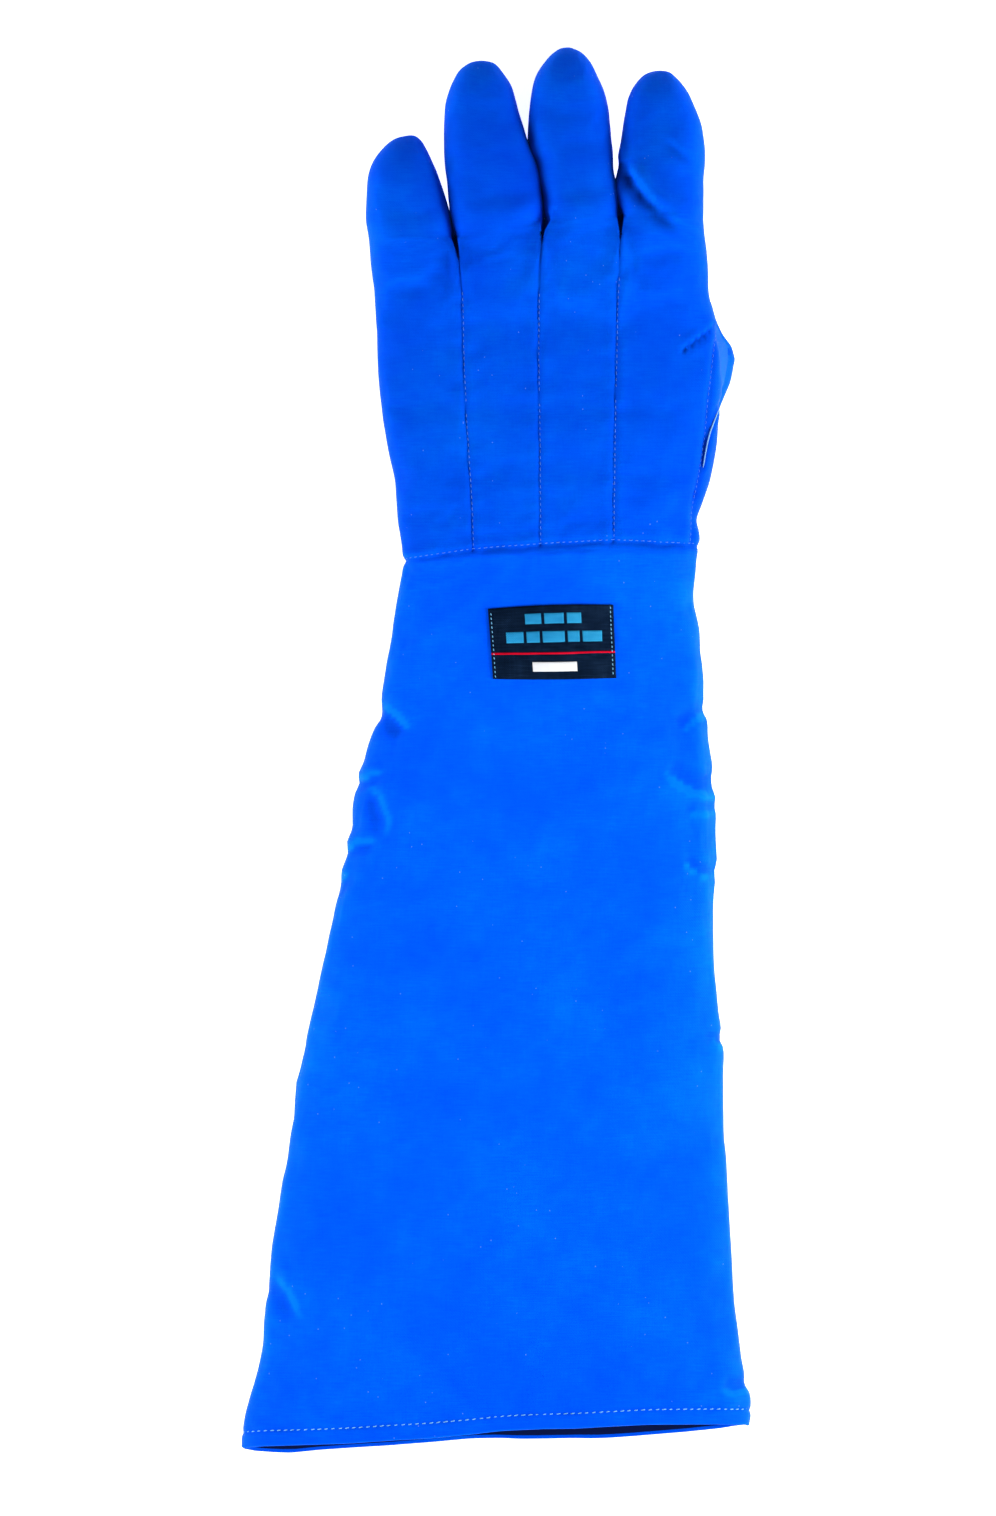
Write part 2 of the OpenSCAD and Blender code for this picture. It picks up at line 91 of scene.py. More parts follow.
def noise(x, y, seed):
    tab = np.random.RandomState(seed).rand(64, 64) * 2 - 1
    xi, yi = np.floor(x).astype(int), np.floor(y).astype(int)
    fx, fy = x - xi, y - yi
    fx = fx**3 * (fx * (fx * 6 - 15) + 10)
    fy = fy**3 * (fy * (fy * 6 - 15) + 10)
    a, b = tab[xi % 64, yi % 64], tab[(xi + 1) % 64, yi % 64]
    c, d = tab[xi % 64, (yi + 1) % 64], tab[(xi + 1) % 64, (yi + 1) % 64]
    return (a * (1 - fx) + b * fx) * (1 - fy) + (c * (1 - fx) + d * fx) * fy


def prof(s, n):
    return np.maximum(0, 1 - np.abs(s) ** n) ** (1 / n)


def near(x, y, pts):
    """Signed distance to a polyline and the share of its length at the nearest point."""
    p = np.array(pts, float)
    seg = np.hypot(*np.diff(p, axis=0).T)
    cum = np.r_[0, np.cumsum(seg)]
    best = np.full(np.shape(x), 1e9)
    sign = np.ones(np.shape(x))
    share = np.zeros(np.shape(x))
    for k in range(len(seg)):
        d = (p[k + 1] - p[k]) / seg[k]
        t = np.clip((x - p[k, 0]) * d[0] + (y - p[k, 1]) * d[1], 0, seg[k])
        ex, ey = x - p[k, 0] - t * d[0], y - p[k, 1] - t * d[1]
        r = np.hypot(ex, ey)
        take = r < best
        best = np.where(take, r, best)
        sign = np.where(take, np.where(d[0] * ey - d[1] * ex >= 0, 1.0, -1.0), sign)
        share = np.where(take, (cum[k] + t) / cum[-1], share)
    return best * sign, share


# ---------------------------------------------------------------- outlines, mm
SLEEVE_L = [(-120.9, -7.1), (-119.9, 4.3), (-117.1, 15.7), (-113.3, 29), (-110.9, 39.4), (-109, 57.5), (-106.2, 86.9), (-102.4, 110.7), (-98.6, 134.4), (-91, 178.6), (-86.2, 203.8), (-80.5, 229.4), (-75.8, 253.2), (-70.5, 276.9), (-65.3, 300.7), (-60.1, 324.4), (-54.4, 342.9), (-53.4, 352.9), (-50.6, 371.9), (-46.8, 393.3), (-44.4, 407.5), (-43.5, 414.2)]
SLEEVE_R = [(120.9, 3.8), (120.9, 15.7), (118, 27.1), (116.1, 39.4), (114.2, 57.5), (112.3, 86.9), (110, 120.2), (108.5, 148.7), (108.1, 178.6), (105.7, 205.7), (103.3, 229.4), (101.4, 253.2), (100.5, 276.9), (99.5, 300.7), (99, 319.7), (96.7, 334.9), (94.8, 345.8), (95.7, 357.7), (95.2, 371.9), (94.8, 386.2), (93.8, 395.7), (94.8, 407.5), (96.2, 421.3)]
HEM = [(-120.9, -6.6), (-97.6, -7.6), (-73.9, -6.4), (-45.4, -3.8), (2.1, -0.2), (30.6, 1.4), (44.9, 2.9), (66.3, 3.8), (101.9, 4.0), (120.9, 3.9)]
HEM_LOW = [(-121, 0.7), (-97.6, 1.5), (-73.9, 1.5), (-45, 1.3), (-12, 1.4), (16, 2.2), (31, 2.7), (45, 3.2), (66, 2.7), (88, 1.9), (112, 0.9), (121, 0.3)]
BOUND = [
    [(-43.5, 414.2), (-46.3, 433.7), (-48.2, 452.7), (-52, 471.7), (-54.6, 490.7), (-56.3, 514.4), (-57.2, 538.2), (-58.9, 556.2), (-60.3, 567.6)],
    [(-10.7, 418.9), (-11.6, 443.2), (-13.1, 466), (-14.5, 490.7), (-15.4, 514.4), (-15.7, 533.4), (-16.9, 552.4), (-18.1, 561), (-19.5, 567.6)],
    [(21.1, 421.3), (20.8, 471.7), (20.2, 521.5), (20.9, 551), (22.1, 566.7), (23, 575.7)],
    [(55.8, 423.2), (56.3, 471.7), (57, 505.9), (57.9, 541), (58.9, 557.2), (59.4, 577.6)],
    [(96.2, 421.3), (96.2, 427.5), (95.2, 432.7), (98.8, 442.7), (101.4, 451.2), (104.9, 468.8), (106.4, 486.4), (106.8, 504.9), (105.4, 520.1), (103.3, 531), (101.6, 538.4), (100.8, 556.2), (99, 576.6)]]
FINGER_L = [
    [(-60.3, 567.6), (-61.4, 576.1), (-61.3, 585.0), (-61.0, 591.4), (-60.2, 597.8), (-58.0, 603.9), (-54.2, 609.9), (-50.6, 613.4), (-47.3, 615.3), (-42.5, 616.3)],
    [(-19.5, 567.6), (-20.9, 574.5), (-21.9, 580.5), (-22.6, 588.0), (-23.4, 596), (-24.7, 613.7), (-24.5, 625.0), (-23.4, 634.5), (-20.9, 641.5), (-16.8, 648.3), (-12.4, 651.4), (-6.9, 652.4)],
    [(23, 575.7), (20.4, 590), (18.0, 602.0), (15.6, 610.5), (15.4, 618.5), (15.9, 628.4), (17.0, 637.5), (19.4, 645.5), (23.2, 651.8), (27.4, 656.2), (31.0, 658.4), (35.4, 658.8)],
    [(59.4, 577.6), (57.9, 587.0), (57.1, 594.5), (58.3, 604.0), (60.2, 617.4), (61.4, 626.4), (63.3, 635.0), (66.8, 641.2), (70.6, 644.9), (74.9, 646.7), (78.6, 647.2)]]
FINGER_R = [
    [(-19.5, 567.6), (-20.7, 574.5), (-21.4, 580.0), (-23.4, 586.9), (-26.2, 595.0), (-29.9, 604), (-33.0, 610.4), (-35.9, 614.6), (-38.4, 616.4), (-42.5, 616.3)],
    [(23, 575.7), (22.3, 588), (20.6, 600.5), (16.2, 611.0), (12.4, 623.2), (10.9, 628.4), (9.6, 634.0), (7.3, 640.6), (3.4, 646.6), (-0.9, 651.3), (-6.9, 652.4)],
    [(59.4, 577.6), (58.0, 587.0), (56.8, 595.5), (55.4, 610.0), (54.4, 621.2), (53.6, 630.2), (51.6, 637.2), (48.9, 644.0), (45.3, 651.6), (40.6, 656.4), (35.4, 658.8)],
    [(99, 576.6), (98.6, 592.8), (99.5, 605.6), (99.0, 613.8), (97.6, 622.0), (94.8, 630.0), (91.2, 637.4), (88.5, 641.2), (85.2, 644.6), (82.6, 646.6), (78.6, 647.2)]]
SEAM_EDGE = [(105, 522.5), (103.3, 508.7), (101.2, 490.7), (99.3, 471.7), (97.1, 457.4), (95.5, 447.9), (94, 441.8), (92.9, 423.2)]
CORD = [(106.4, 487.3), (103.8, 480.7), (101.4, 473.6), (99.8, 466), (98.5, 458.4)]
DART = [(88.6, 513.2), (95.2, 517.8), (100.5, 522), (103.3, 524.9)]
# folds on the back: points, depth, width, ridge
FOLDS = [
    ([(60.1, 600.9), (64.4, 592.6), (70.4, 585), (77.9, 577.2), (88.2, 570.4)], 2.7, 3.2, 0.75),
    ([(61.0, 597.4), (66.5, 594.9), (71.6, 592.6)], 0.6, 1.2, 0.6),
    ([(28.2, 553.0), (24.0, 540.0), (26.2, 527.0)], 0.5, 6.0, 0.3),
    ([(80, 613.2), (85.7, 608.5), (93.3, 601.8)], 0.7, 2.4, 0.5),
    ([(23.4, 572.6), (25.4, 577.4), (28.4, 580.4), (31.5, 582.6)], 1.5, 1.0, 0.7),
    ([(68.6, 556.2), (81.9, 559.5), (97.1, 556.2)], 0.5, 4.0, 0.3),
    ([(-51.1, 538.2), (-43.5, 542.9), (-31.1, 542)], 0.5, 5.0, 0.3),
    ([(-55.3, 342.5), (-49.6, 337.7), (-43, 330.1)], 2.0, 4.0, 0.6),
    ([(-64.8, 307.3), (-58.7, 309.7), (-51.1, 312.1)], 1.6, 2.4, 0.9),
    ([(-64.8, 305.4), (-58.7, 299.7), (-55.3, 291.2), (-57.2, 281.7)], 1.1, 4.5, 0.5),
    ([(-71, 274.6), (-64.4, 277.9), (-54.9, 278.8)], 1.6, 2.4, 0.9),
    ([(-75.8, 255.1), (-72, 260.8), (-66.3, 264.6)], 1.1, 3.0, 0.7),
    ([(94.3, 343.9), (89.5, 338.2), (86.2, 335.3)], 1.8, 3.0, 0.6),
    ([(100.5, 306.8), (92.4, 310.2), (81, 317.8)], 2.6, 4.4, 0.6),
    ([(100, 297.3), (93.8, 297.8), (89.5, 294.5)], 1.6, 2.6, 0.7),
    ([(100.9, 266), (95.2, 268.8), (88.6, 274.6)], 1.6, 2.6, 0.7),
    ([(110.4, 184.8), (105.2, 188.1), (99, 187.1)], 1.8, 2.6, 0.7),
    ([(119.9, 23.3), (113.3, 21.8), (106.6, 23.3)], 1.8, 3.2, 0.6),
    ([(-108.1, 70.8), (-102.4, 64.1), (-95.7, 50.8)], 1.2, 4.6, 0.5),
    ([(-35.9, 314), (-12.1, 317.8), (11.6, 318.7), (44.9, 312.1), (68.6, 314)], 0.9, 13.0, 0.4),
    ([(-45.4, 280.7), (-12.1, 276.9), (21.1, 278.8)], 0.7, 12.0, 0.3),
    ([(-92.9, 162.9), (-78.6, 139.2), (-80.5, 101.2)], 0.7, 12.0, 0.2),
    ([(97.1, 148.7), (92.4, 115.4), (97.1, 82.2)], 0.7, 10.0, 0.3),
    ([(-26.4, 27.1), (11.6, 33.7), (49.6, 29), (87.6, 34.7)], 0.8, 10.0, 0.3),
]


def mid(y):
    """centre height, height above, depth below, exponent above, exponent below at y"""
    ys = [-10, 36, 100, 178, 250, 300, 345, 382, 418, 451, 490, 531, 600]
    zc = smooth(ys, [23, 23, 23, 23, 23, 23.3, 25, 28, 31, 34.2, 36.4, 36.8, 36.8], y)
    up = smooth(ys, [22, 22.6, 22.8, 22.8, 22, 20.8, 18.8, 17, 16, 16.8, 17.3, 17.2, 17], y)
    dn = smooth(ys, [22.8, 22.9, 22.9, 22.9, 22.9, 22.9, 21.4, 18.4, 16, 16, 16.5, 16.8, 16.8], y)
    nu = smooth(ys, [2.2, 2.2, 2.25, 2.3, 2.3, 2.3, 2.35, 2.4, 2.6, 2.9, 3.0, 3.0, 3.0], y)
    nd = smooth(ys, [4.2, 4.2, 4.2, 4.2, 4.2, 4.0, 3.4, 3.0, 2.8, 3.0, 3.0, 3.0, 3.0], y)
    return zc, up, dn, nu, nd


# ---------------------------------------------------------------- the glove's skin
uni = np.arange(M + 1) / M
fcol = 0.3 * uni + 0.7 * 0.5 * (1 - np.cos(np.pi * uni))
vh = np.linspace(0, 1, NH + 1)
vh = vh - 0.055 * np.sin(2 * np.pi * vh)          # rows gather at the wrist seam and at the finger bases
B = [path(b)(vh) for b in BOUND]
hand = np.zeros((NH + 1, NC + 1, 2))
for k in range(4):
    hand[:, k * M:(k + 1) * M + 1] = B[k][:, None] * (1 - fcol)[None, :, None] + B[k + 1][:, None] * fcol[None, :, None]
ts = np.linspace(0, 1, NS + 1)
ts = ts - 0.09 * np.sin(2 * np.pi * ts)           # rows gather at the cuff and at the wrist seam
Lp, Rp = path(SLEEVE_L)(ts), path(SLEEVE_R)(ts)
a_w = (hand[0, :, 0] - hand[0, 0, 0]) / (hand[0, -1, 0] - hand[0, 0, 0])
cu = np.arange(NC + 1) / NC
a_c = 0.45 * cu + 0.55 * 0.5 * (1 - np.cos(np.pi * cu))
wt = step((ts - 0.80) / 0.20)[:, None]
A = a_c[None, :] * (1 - wt) + a_w[None, :] * wt
sleeve = Lp[:, None] * (1 - A[..., None]) + Rp[:, None] * A[..., None]
hem = path(HEM)(np.linspace(0, 1, 300))
hem_y = np.interp(sleeve[0, :, 0], hem[:, 0], hem[:, 1])
sleeve[..., 1] += (hem_y - sleeve[0, :, 1])[None, :] * ((1 - ts) ** 6)[:, None]
sleeve += (hand[0] - sleeve[-1])[None] * step((ts - 0.85) / 0.15)[:, None, None]
xy = np.concatenate([sleeve, hand[1:]], 0)
NR = NS + NH
S = 2 * (xy[..., 0] - xy[:, :1, 0]) / (xy[:, -1:, 0] - xy[:, :1, 0]) - 1
Y = xy[..., 1]
zc, up, dn, nu, nd = mid(Y)
handv = np.r_[np.zeros(NS), vh]
roll = smooth([0, .22, .48, .75, 1], [0, .6, 1.6, 2.6, 3.5], handv)[:, None] * S
zc = zc + roll
# the thumb's side of the hand is fuller underneath, where the thumb's base is set in
full = step((Y - 430) / 30) * step((530 - Y) / 20) * step((S - 0.55) / 0.45)
nd = nd + 3.0 * full
h_up, h_dn = up * prof(S, nu), dn * prof(S, nd)
# towards the finger bases the section turns into four finger sections
fh0 = [14.6, 15.2, 15.2, 15.0]
for k in range(4):
    sl = slice(k * M, (k + 1) * M + 1)
    d = np.linalg.norm(np.diff(xy[NS:, k * M:(k + 1) * M + 1], axis=0), axis=-1)
    d = np.r_[np.cumsum(d[::-1], 0)[::-1], np.zeros((1, M + 1))]
    left = 1 - fcol if k > 0 else np.zeros(M + 1)
    right = fcol if k < 3 else np.zeros(M + 1)
    near_crotch = np.maximum(left, right) ** 5
    D = 44 - 30 * near_crotch[None, :]
    r = np.clip(1 - d / D, 0, 1)
    q = np.sqrt(np.maximum(0, 1 - r**2)) * near_crotch + step(1 - r) * (1 - near_crotch)
    pf = prof(2 * fcol - 1, 2.3)[None, :]
    for h, f in ((h_up, 1.0), (h_dn, 0.97)):
        new = h[NS:, sl] * q + fh0[k] * f * pf * (1 - q)
        if k > 0:      # the shared column takes the lower of its two strips
            new[:, 0] = np.minimum(new[:, 0], h[NS:, k * M])
        h[NS:, sl] = new
top = np.dstack([xy, zc + h_up])
bot = np.dstack([xy, zc - h_dn])
bot[..., 1] -= np.interp(xy[..., 0], [a for a, b in HEM_LOW], [b for a, b in HEM_LOW]) * (np.r_[1 - ts, np.zeros(NH)] ** 14)[:, None] * (np.abs(S) < 1)


def fingers_rows(k):
    t = np.linspace(0, 1, NF + 1)
    t = t + 0.03 * np.sin(np.pi * t)
    L, R = path(FINGER_L[k])(t), path(FINGER_R[k])(t)
    cx, cy, g = CREASE[k]
    dx, dy = -math.sin(math.radians(g)), math.cos(math.radians(g))
    p = L[:, None] * (1 - fcol)[None, :, None] + R[:, None] * fcol[None, :, None]
    c = (L + R) / 2
    u = (p[..., 0] - cx) * dx + (p[..., 1] - cy) * dy
    uc = (c[:, 0] - cx) * dx + (c[:, 1] - cy) * dy
    w = np.linalg.norm(R - L, axis=1) / 2
    wref = w[NF // 5:NF // 2].mean() * 0.96
    cap = np.minimum(1, w / wref)
    cap = 1 - (1 - cap) ** 1.35
    H = np.interp(uc, [0, LENGTH[k] * 0.45, LENGTH[k]], [fh0[k], 13.4, 12.2]) * cap
    zf = 36.8 + 3.5 * (cx - 20.2) / 79.3
    z_mid = zf - DROOP * np.maximum(0, u) ** 2 / (np.maximum(0, u) + 5)
    base = top[NR, k * M:(k + 1) * M + 1, 2] - h_up[NR, k * M:(k + 1) * M + 1]
    z_mid = base[None, :] * (1 - step(u / 16)) + z_mid * step(u / 16)
    pf = prof(2 * fcol - 1, 2.3)[None, :]
    pb = prof(2 * fcol - 1, 2.5)[None, :] * 0.97
    lift = step(u / 12)
    # the ring finger lies a little over the middle finger's edge
    across = np.broadcast_to(2 * fcol - 1, u.shape)
    win = step(u / 9) * step((52 - u) / 16)
    if k == 1:
        z_mid = z_mid + 2.6 * np.clip(across, 0, 1) ** 2 * win
    if k == 2:
        z_mid = z_mid - 3.0 * np.clip(-across, 0, 1) ** 2 * win
    return (np.dstack([p, z_mid + H[:, None] * pf]),
            np.dstack([p, z_mid - H[:, None] * (pf * 0.97 * (1 - lift) + pb * lift)]), uc)


# vertex numbers: the back and palm grids share their edges, the finger bases and the tips
verts, uv_t, uv_b = [], {}, {}
TI = np.arange((NR + 1) * (NC + 1)).reshape(NR + 1, NC + 1)
co = [top.reshape(-1, 3)]
n = TI.size
BI = np.zeros_like(TI)
inner = np.arange((NR + 1) * (NC - 1)).reshape(NR + 1, NC - 1) + n
BI[:, 1:-1] = inner
BI[:, 0], BI[:, -1] = TI[:, 0], TI[:, -1]
for k in (1, 2, 3):
    BI[NR, k * M] = TI[NR, k * M]
co.append(bot[:, 1:-1].reshape(-1, 3))
n += inner.size
FT, FB, UC = [], [], []
for k in range(4):
    ft, fb, uc = fingers_rows(k)
    it = np.zeros((NF + 1, M + 1), int)
    ib = np.zeros((NF + 1, M + 1), int)
    it[0], ib[0] = TI[NR, k * M:(k + 1) * M + 1], BI[NR, k * M:(k + 1) * M + 1]
    block = np.arange((NF - 1) * (M + 1)).reshape(NF - 1, M + 1) + n
    it[1:NF] = block
    co.append(ft[1:NF].reshape(-1, 3))
    n += block.size
    block = np.arange((NF - 1) * (M - 1)).reshape(NF - 1, M - 1) + n
    ib[1:NF, 1:M] = block
    ib[1:NF, 0], ib[1:NF, M] = it[1:NF, 0], it[1:NF, M]
    co.append(fb[1:NF, 1:M].reshape(-1, 3))
    n += block.size
    it[NF], ib[NF] = n, n
    co.append(ft[NF, M // 2][None])
    n += 1
    FT.append(it)
    FB.append(ib)
    UC.append(uc)
CO = np.concatenate(co)
CO[:, 2] -= TABLE
# the cuff's back edge lies a little short of its palm edge, so its mouth shows as a dark slit
BACK_EDGE = [(-120.9, -6.6), (-110, -5.5), (-97.6, -5.0), (-69, -3.9), (-50, -2.5), (-31, -1.5), (-12, 0.4), (2, 2.1), (12, 2.6), (24, 3.1), (38, 3.2), (54, 4.1), (73, 5.0), (92, 5.0), (107, 4.9), (120.9, 4.4)]
PALM_EDGE = [(-120.9, -6.6), (-115, -7.7), (-105, -8.2), (-97.6, -8.2), (-83, -6.8), (-69, -5.9), (-50, -4.9), (-31, -3.4), (-12, -1.6), (2, -0.9), (12, -1.1), (24, -0.6), (38, 0.2), (54, 0.3), (73, 1.2), (92, 2.1), (107, 3.1), (114, 4.0), (120.9, 4.4)]
for G, EDGE in ((TI, BACK_EDGE), (BI, PALM_EDGE)):
    e_ = np.array(EDGE)
    x_ = xy[0, :, 0]
    target = np.interp(x_, e_[:, 0], e_[:, 1])
    target[1:-1] = (target[:-2] + target[1:-1] + target[2:]) / 3
    d_ = xy[:NS, :, 1] - xy[:1, :, 1]
    shift = (target - xy[0, :, 1])[None, :] * step(1 - d_ / 26.0)
    CO[G[:NS, 1:-1], 1] += shift[:, 1:-1]


def grid_faces(I, flip, r0=None, r1=None, c0=None, c1=None, sr=1, sc=1):
    rows = list(range(r0 or 0, r1 if r1 is not None else I.shape[0] - 1, sr)) + [r1 if r1 is not None else I.shape[0] - 1]
    cols = list(range(c0 or 0, c1 if c1 is not None else I.shape[1] - 1, sc)) + [c1 if c1 is not None else I.shape[1] - 1]
    J = I[np.ix_(rows, cols)]
    f = np.stack([J[:-1, :-1], J[:-1, 1:], J[1:, 1:], J[1:, :-1]], -1).reshape(-1, 4)
    return f[:, ::-1] if flip else f


def clean(f):
    """quads as tuples, with the repeated corner of a pole quad left out"""
    out = []
    for q in f.tolist():
        r = [v for i, v in enumerate(q) if v != q[i - 1]]
        if len(r) >= 3 and len(set(r)) == len(r):
            out.append(tuple(r))
    return out


def normals(co, faces):
    q = np.array([f if len(f) == 4 else (f[0], f[1], f[2], f[2]) for f in faces])
    a, b, c, d = co[q[:, 0]], co[q[:, 1]], co[q[:, 2]], co[q[:, 3]]
    fn = np.cross(c - a, d - b)
    N = np.zeros_like(co)
    for i in range(4):
        np.add.at(N, q[:, i], fn)
    return N / np.maximum(1e-12, np.linalg.norm(N, axis=1))[:, None]


ALL = clean(grid_faces(TI, False)) + clean(grid_faces(BI, True))
for k in range(4):
    ALL += clean(grid_faces(FT[k], False)) + clean(grid_faces(FB[k], True))
NSM = normals(CO, ALL)

# ---------------------------------------------------------------- padding, folds and puckers
X2, Y2 = CO[:, 0], CO[:, 1]
disp = np.zeros(len(CO))


SHADE = np.zeros(len(CO))      # painted shade and highlight: how much darker the cloth's colour is drawn in a crease, and lighter on its crest


# painted shade in the folds, along the dart and along the thumb-side seam, with a painted highlight on the folds'
# crests
def shade_of(x, y):
    d = np.zeros(np.shape(x))
    for pts, depth, width, ridge in FOLDS:
        if width > 8:
            continue
        s, t = near(x, y, pts)
        ends = step(np.clip(np.minimum(t + 0.15, 1 - t) / 0.4, 0, 1))
        wob = 1 + 0.5 * noise(x / 3.1, y / 3.7, 71)
        d += ends * depth * (0.20 * np.exp(-((s + 0.25 * width) / (0.75 * width)) ** 2) * wob
                             - 0.26 * np.exp(-((s - 1.05 * width) / (0.30 * width + 0.25)) ** 2) * wob)
    s, t = near(x, y, DART)
    d += step(np.clip((t + 0.05) / 0.2, 0, 1)) * (1.15 - 0.8 * t) * np.exp(-(s / 0.55) ** 2) - 0.30 * np.exp(-((s - 1.3) / 0.5) ** 2)
    s, t = near(x, y, SEAM_EDGE)
    d += 0.22 * np.exp(-(s / 0.9) ** 2)
    return d


def folds(x, y):
    d = np.zeros(np.shape(x))
    for pts, depth, width, ridge in FOLDS:
        s, t = near(x, y, pts)
        ends = np.clip(np.minimum(t + 0.12, (1 - t) * 1.0 + 0.0) / 0.35, 0, 1)
        ends = step(ends)
        d += ends * (-depth * np.exp(-(s / width) ** 2)
                     + ridge * depth * np.exp(-((s - 1.9 * width) / (1.3 * width)) ** 2)
                     + 0.5 * ridge * depth * np.exp(-((s + 1.9 * width) / (1.5 * width)) ** 2))
    s, t = near(x, y, DART)
    e = step(np.clip((t + 0.05) / 0.2, 0, 1))
    d += e * (-1.7 * np.exp(-(s / 0.9) ** 2) + 0.9 * np.exp(-((s - 2.4) / 1.8) ** 2) + 0.5 * np.exp(-((s + 2.8) / 2.2) ** 2))
    s, t = near(x, y, SEAM_EDGE)
    d += -0.9 * np.exp(-(s / 1.0) ** 2) + 0.35 * np.exp(-((s - 3) / 2) ** 2) + 0.35 * np.exp(-((s + 3) / 2) ** 2)
    s, t = near(x, y, CORD)
    d += 0.5 * np.exp(-((s - 1.2) / 1.0) ** 2) - 0.9 * np.exp(-((s + 1.0) / 1.0) ** 2)
    return d


def soft(x, y):
    big = 1.25 * noise(x / 62 + 3.1, y / 74 + 1.7, 11) + 0.75 * noise(x / 31 + 9.2, y / 37 + 4.4, 12)
    warp = 5 * noise(x / 40, y / 40, 13)
    small = 0.24 * noise((x + warp) / 12 + 5, (y + warp) / 15 + 8, 14) + 0.10 * noise((x - warp) / 5.2, (y + warp) / 6.4, 15)
    return big, small


tid = TI.ravel()
x, y = xy[..., 0], xy[..., 1]
big, small = soft(x, y)
edge = 1 - np.abs(S) ** 8
hand_part = step((y - 405) / 40)
dt = big * edge * (1 - 0.72 * hand_part) + small
dt += 0.45 * noise(y / 13 + 40 * (S > 0), 0 * y + 7.7, 16) * np.abs(S) ** 14           # uneven side edges
dt += folds(x, y)
for k in (1, 2, 3):                                                                    # seams of the back
    bx = np.r_[np.full(NS, B[k][0, 0]), B[k][:, 0]][:, None]
    on = np.r_[np.zeros(NS), np.ones(NH + 1)][:, None]
    s = x - bx
    pull = 0.34 * noise(y / 5.2 + 13 * k, np.sign(s) * 3.3 + 0 * y, 20 + k) * np.exp(-(s / 6) ** 2)
    under = np.exp(-(np.maximum(0, B[k][-1, 1] - y) / 13) ** 2)
    dt += on * (-(0.65 + 1.3 * under) * np.exp(-(s / 0.95) ** 2) + 0.30 * np.exp(-((np.abs(s) - 3.2) / 2.2) ** 2) + pull)
wy = np.interp(x, hand[0, :, 0], hand[0, :, 1])
s = y - wy
dt += -1.0 * np.exp(-(s / 1.15) ** 2) + 0.35 * np.exp(-((s - 3.4) / 2.4) ** 2) + 0.25 * np.exp(-((s + 3.6) / 2.6) ** 2)
dt += 0.42 * noise(x / 6.0, np.sign(s) * 2.2 + 0 * x, 25) * np.exp(-(s / 9) ** 2)
dt += 0.30 * noise(x / 2.9, np.sign(s) * 4.2 + y / 40, 27) * np.exp(-(s / 5) ** 2)
side_l, side_r = x - xy[:, :1, 0], xy[:, -1:, 0] - x
gather = 0.75 * noise(y / 8.5 + side_l / 26, 0 * y + 1.3, 28) + 0.40 * noise(y / 3.9 + side_l / 16, 0 * y + 6.1, 29)
dt += gather * np.exp(-(side_l / 11) ** 2) * step(side_l / 2.5) * (1 - 0.5 * step((y - 405) / 30))
gather = 0.85 * noise(y / 7.5 - side_r / 24, 0 * y + 2.3, 30) + 0.45 * noise(y / 3.6 - side_r / 15, 0 * y + 8.1, 32)
dt += gather * np.exp(-(side_r / 12) ** 2) * step(side_r / 2.5) * (1 - 0.5 * step((y - 405) / 30))
# the folded hem: its stitch line dents the cloth, which puffs on both sides
hy = y - np.interp(x, hem[:, 0], hem[:, 1])
hem_rows = (hy < 40)
dt += hem_rows * (-0.55 * np.exp(-((hy - 6.5) / 1.1) ** 2) + 0.30 * np.exp(-((hy - 3.4) / 2.2) ** 2)
                  + 0.28 * noise(x / 4.2, 0 * x + 5.5, 26) * np.exp(-((hy - 6.5) / 4) ** 2))
disp[tid] = dt.ravel()
sh = shade_of(x, y)
# painted shade along the back's seams, the wrist seam and the hem's stitch line, with a painted highlight beside the
# wrist seam
for k in (1, 2, 3):
    bx = np.r_[np.full(NS, B[k][0, 0]), B[k][:, 0]][:, None]
    on = np.r_[np.zeros(NS), np.ones(NH + 1)][:, None]
    under = np.exp(-(np.maximum(0, B[k][-1, 1] - y) / [12, 22, 14][k - 1]) ** 2)
    sh += on * (0.16 + 0.95 * under) * np.exp(-((x - bx) / (0.55 + 0.25 * under)) ** 2)
sh += 0.16 * np.exp(-((y - wy) / 0.9) ** 2) - 0.10 * np.exp(-((y - wy - 2.4) / 1.1) ** 2)
sh += hem_rows * 0.15 * np.exp(-((hy - 6.5) / 0.8) ** 2)
# near the sleeve's sides the painted highlights are drawn stronger and the painted shade is capped
crisp = np.where(sh < 0, np.maximum(sh * 2.4, -0.55), np.minimum(sh * 0.9, 0.20))
sh[:NS] = np.where(np.minimum(side_l, side_r) < 40, crisp, sh)[:NS]
SHADE[tid] = sh.ravel()
hand_edge = np.abs(S) ** 18
arcL = np.cumsum(np.linalg.norm(np.diff(bot, axis=1, prepend=bot[:, :1]), axis=-1), 1)
arcR = arcL[:, -1:] - arcL
db = (dt[:, :1] * np.exp(-arcL / 7) + dt[:, -1:] * np.exp(-arcR / 7))
rest_on = step((300 - y) / 60)
inside = 1 - np.exp(-arcL / 9) - np.exp(-arcR / 9)
db += (0.8 * noise(x / 44 + 21, y / 52 + 3, 31) + small * 0.8) * np.clip(inside, 0, 1) * (1 - 0.75 * rest_on)
s = y - wy
db += np.clip(inside, 0, 1) * (-1.1 * np.exp(-(s / 1.2) ** 2) + 0.35 * noise(x / 6.5, np.sign(s) * 2.0 + 0 * x, 33) * np.exp(-(s / 9) ** 2))
for k in (1, 2, 3):      # palm folds below the finger crotches
    cx, cy = BOUND[k][-1]
    db += -0.9 * np.exp(-((x - cx) / 2.4) ** 2) * np.exp(-((y - cy) / 14) ** 2) * (np.abs(x - cx) > 0.05)
db += -0.8 * np.exp(-((near(x, y, [(-48, 505), (0, 512), (52, 500), (80, 470)])[0]) / 3.2) ** 2) * np.clip(inside, 0, 1)
disp[BI[:, 1:-1].ravel()] = db[:, 1:-1].ravel()
for k in (1, 2, 3):
    disp[TI[NR, k * M]] = 0
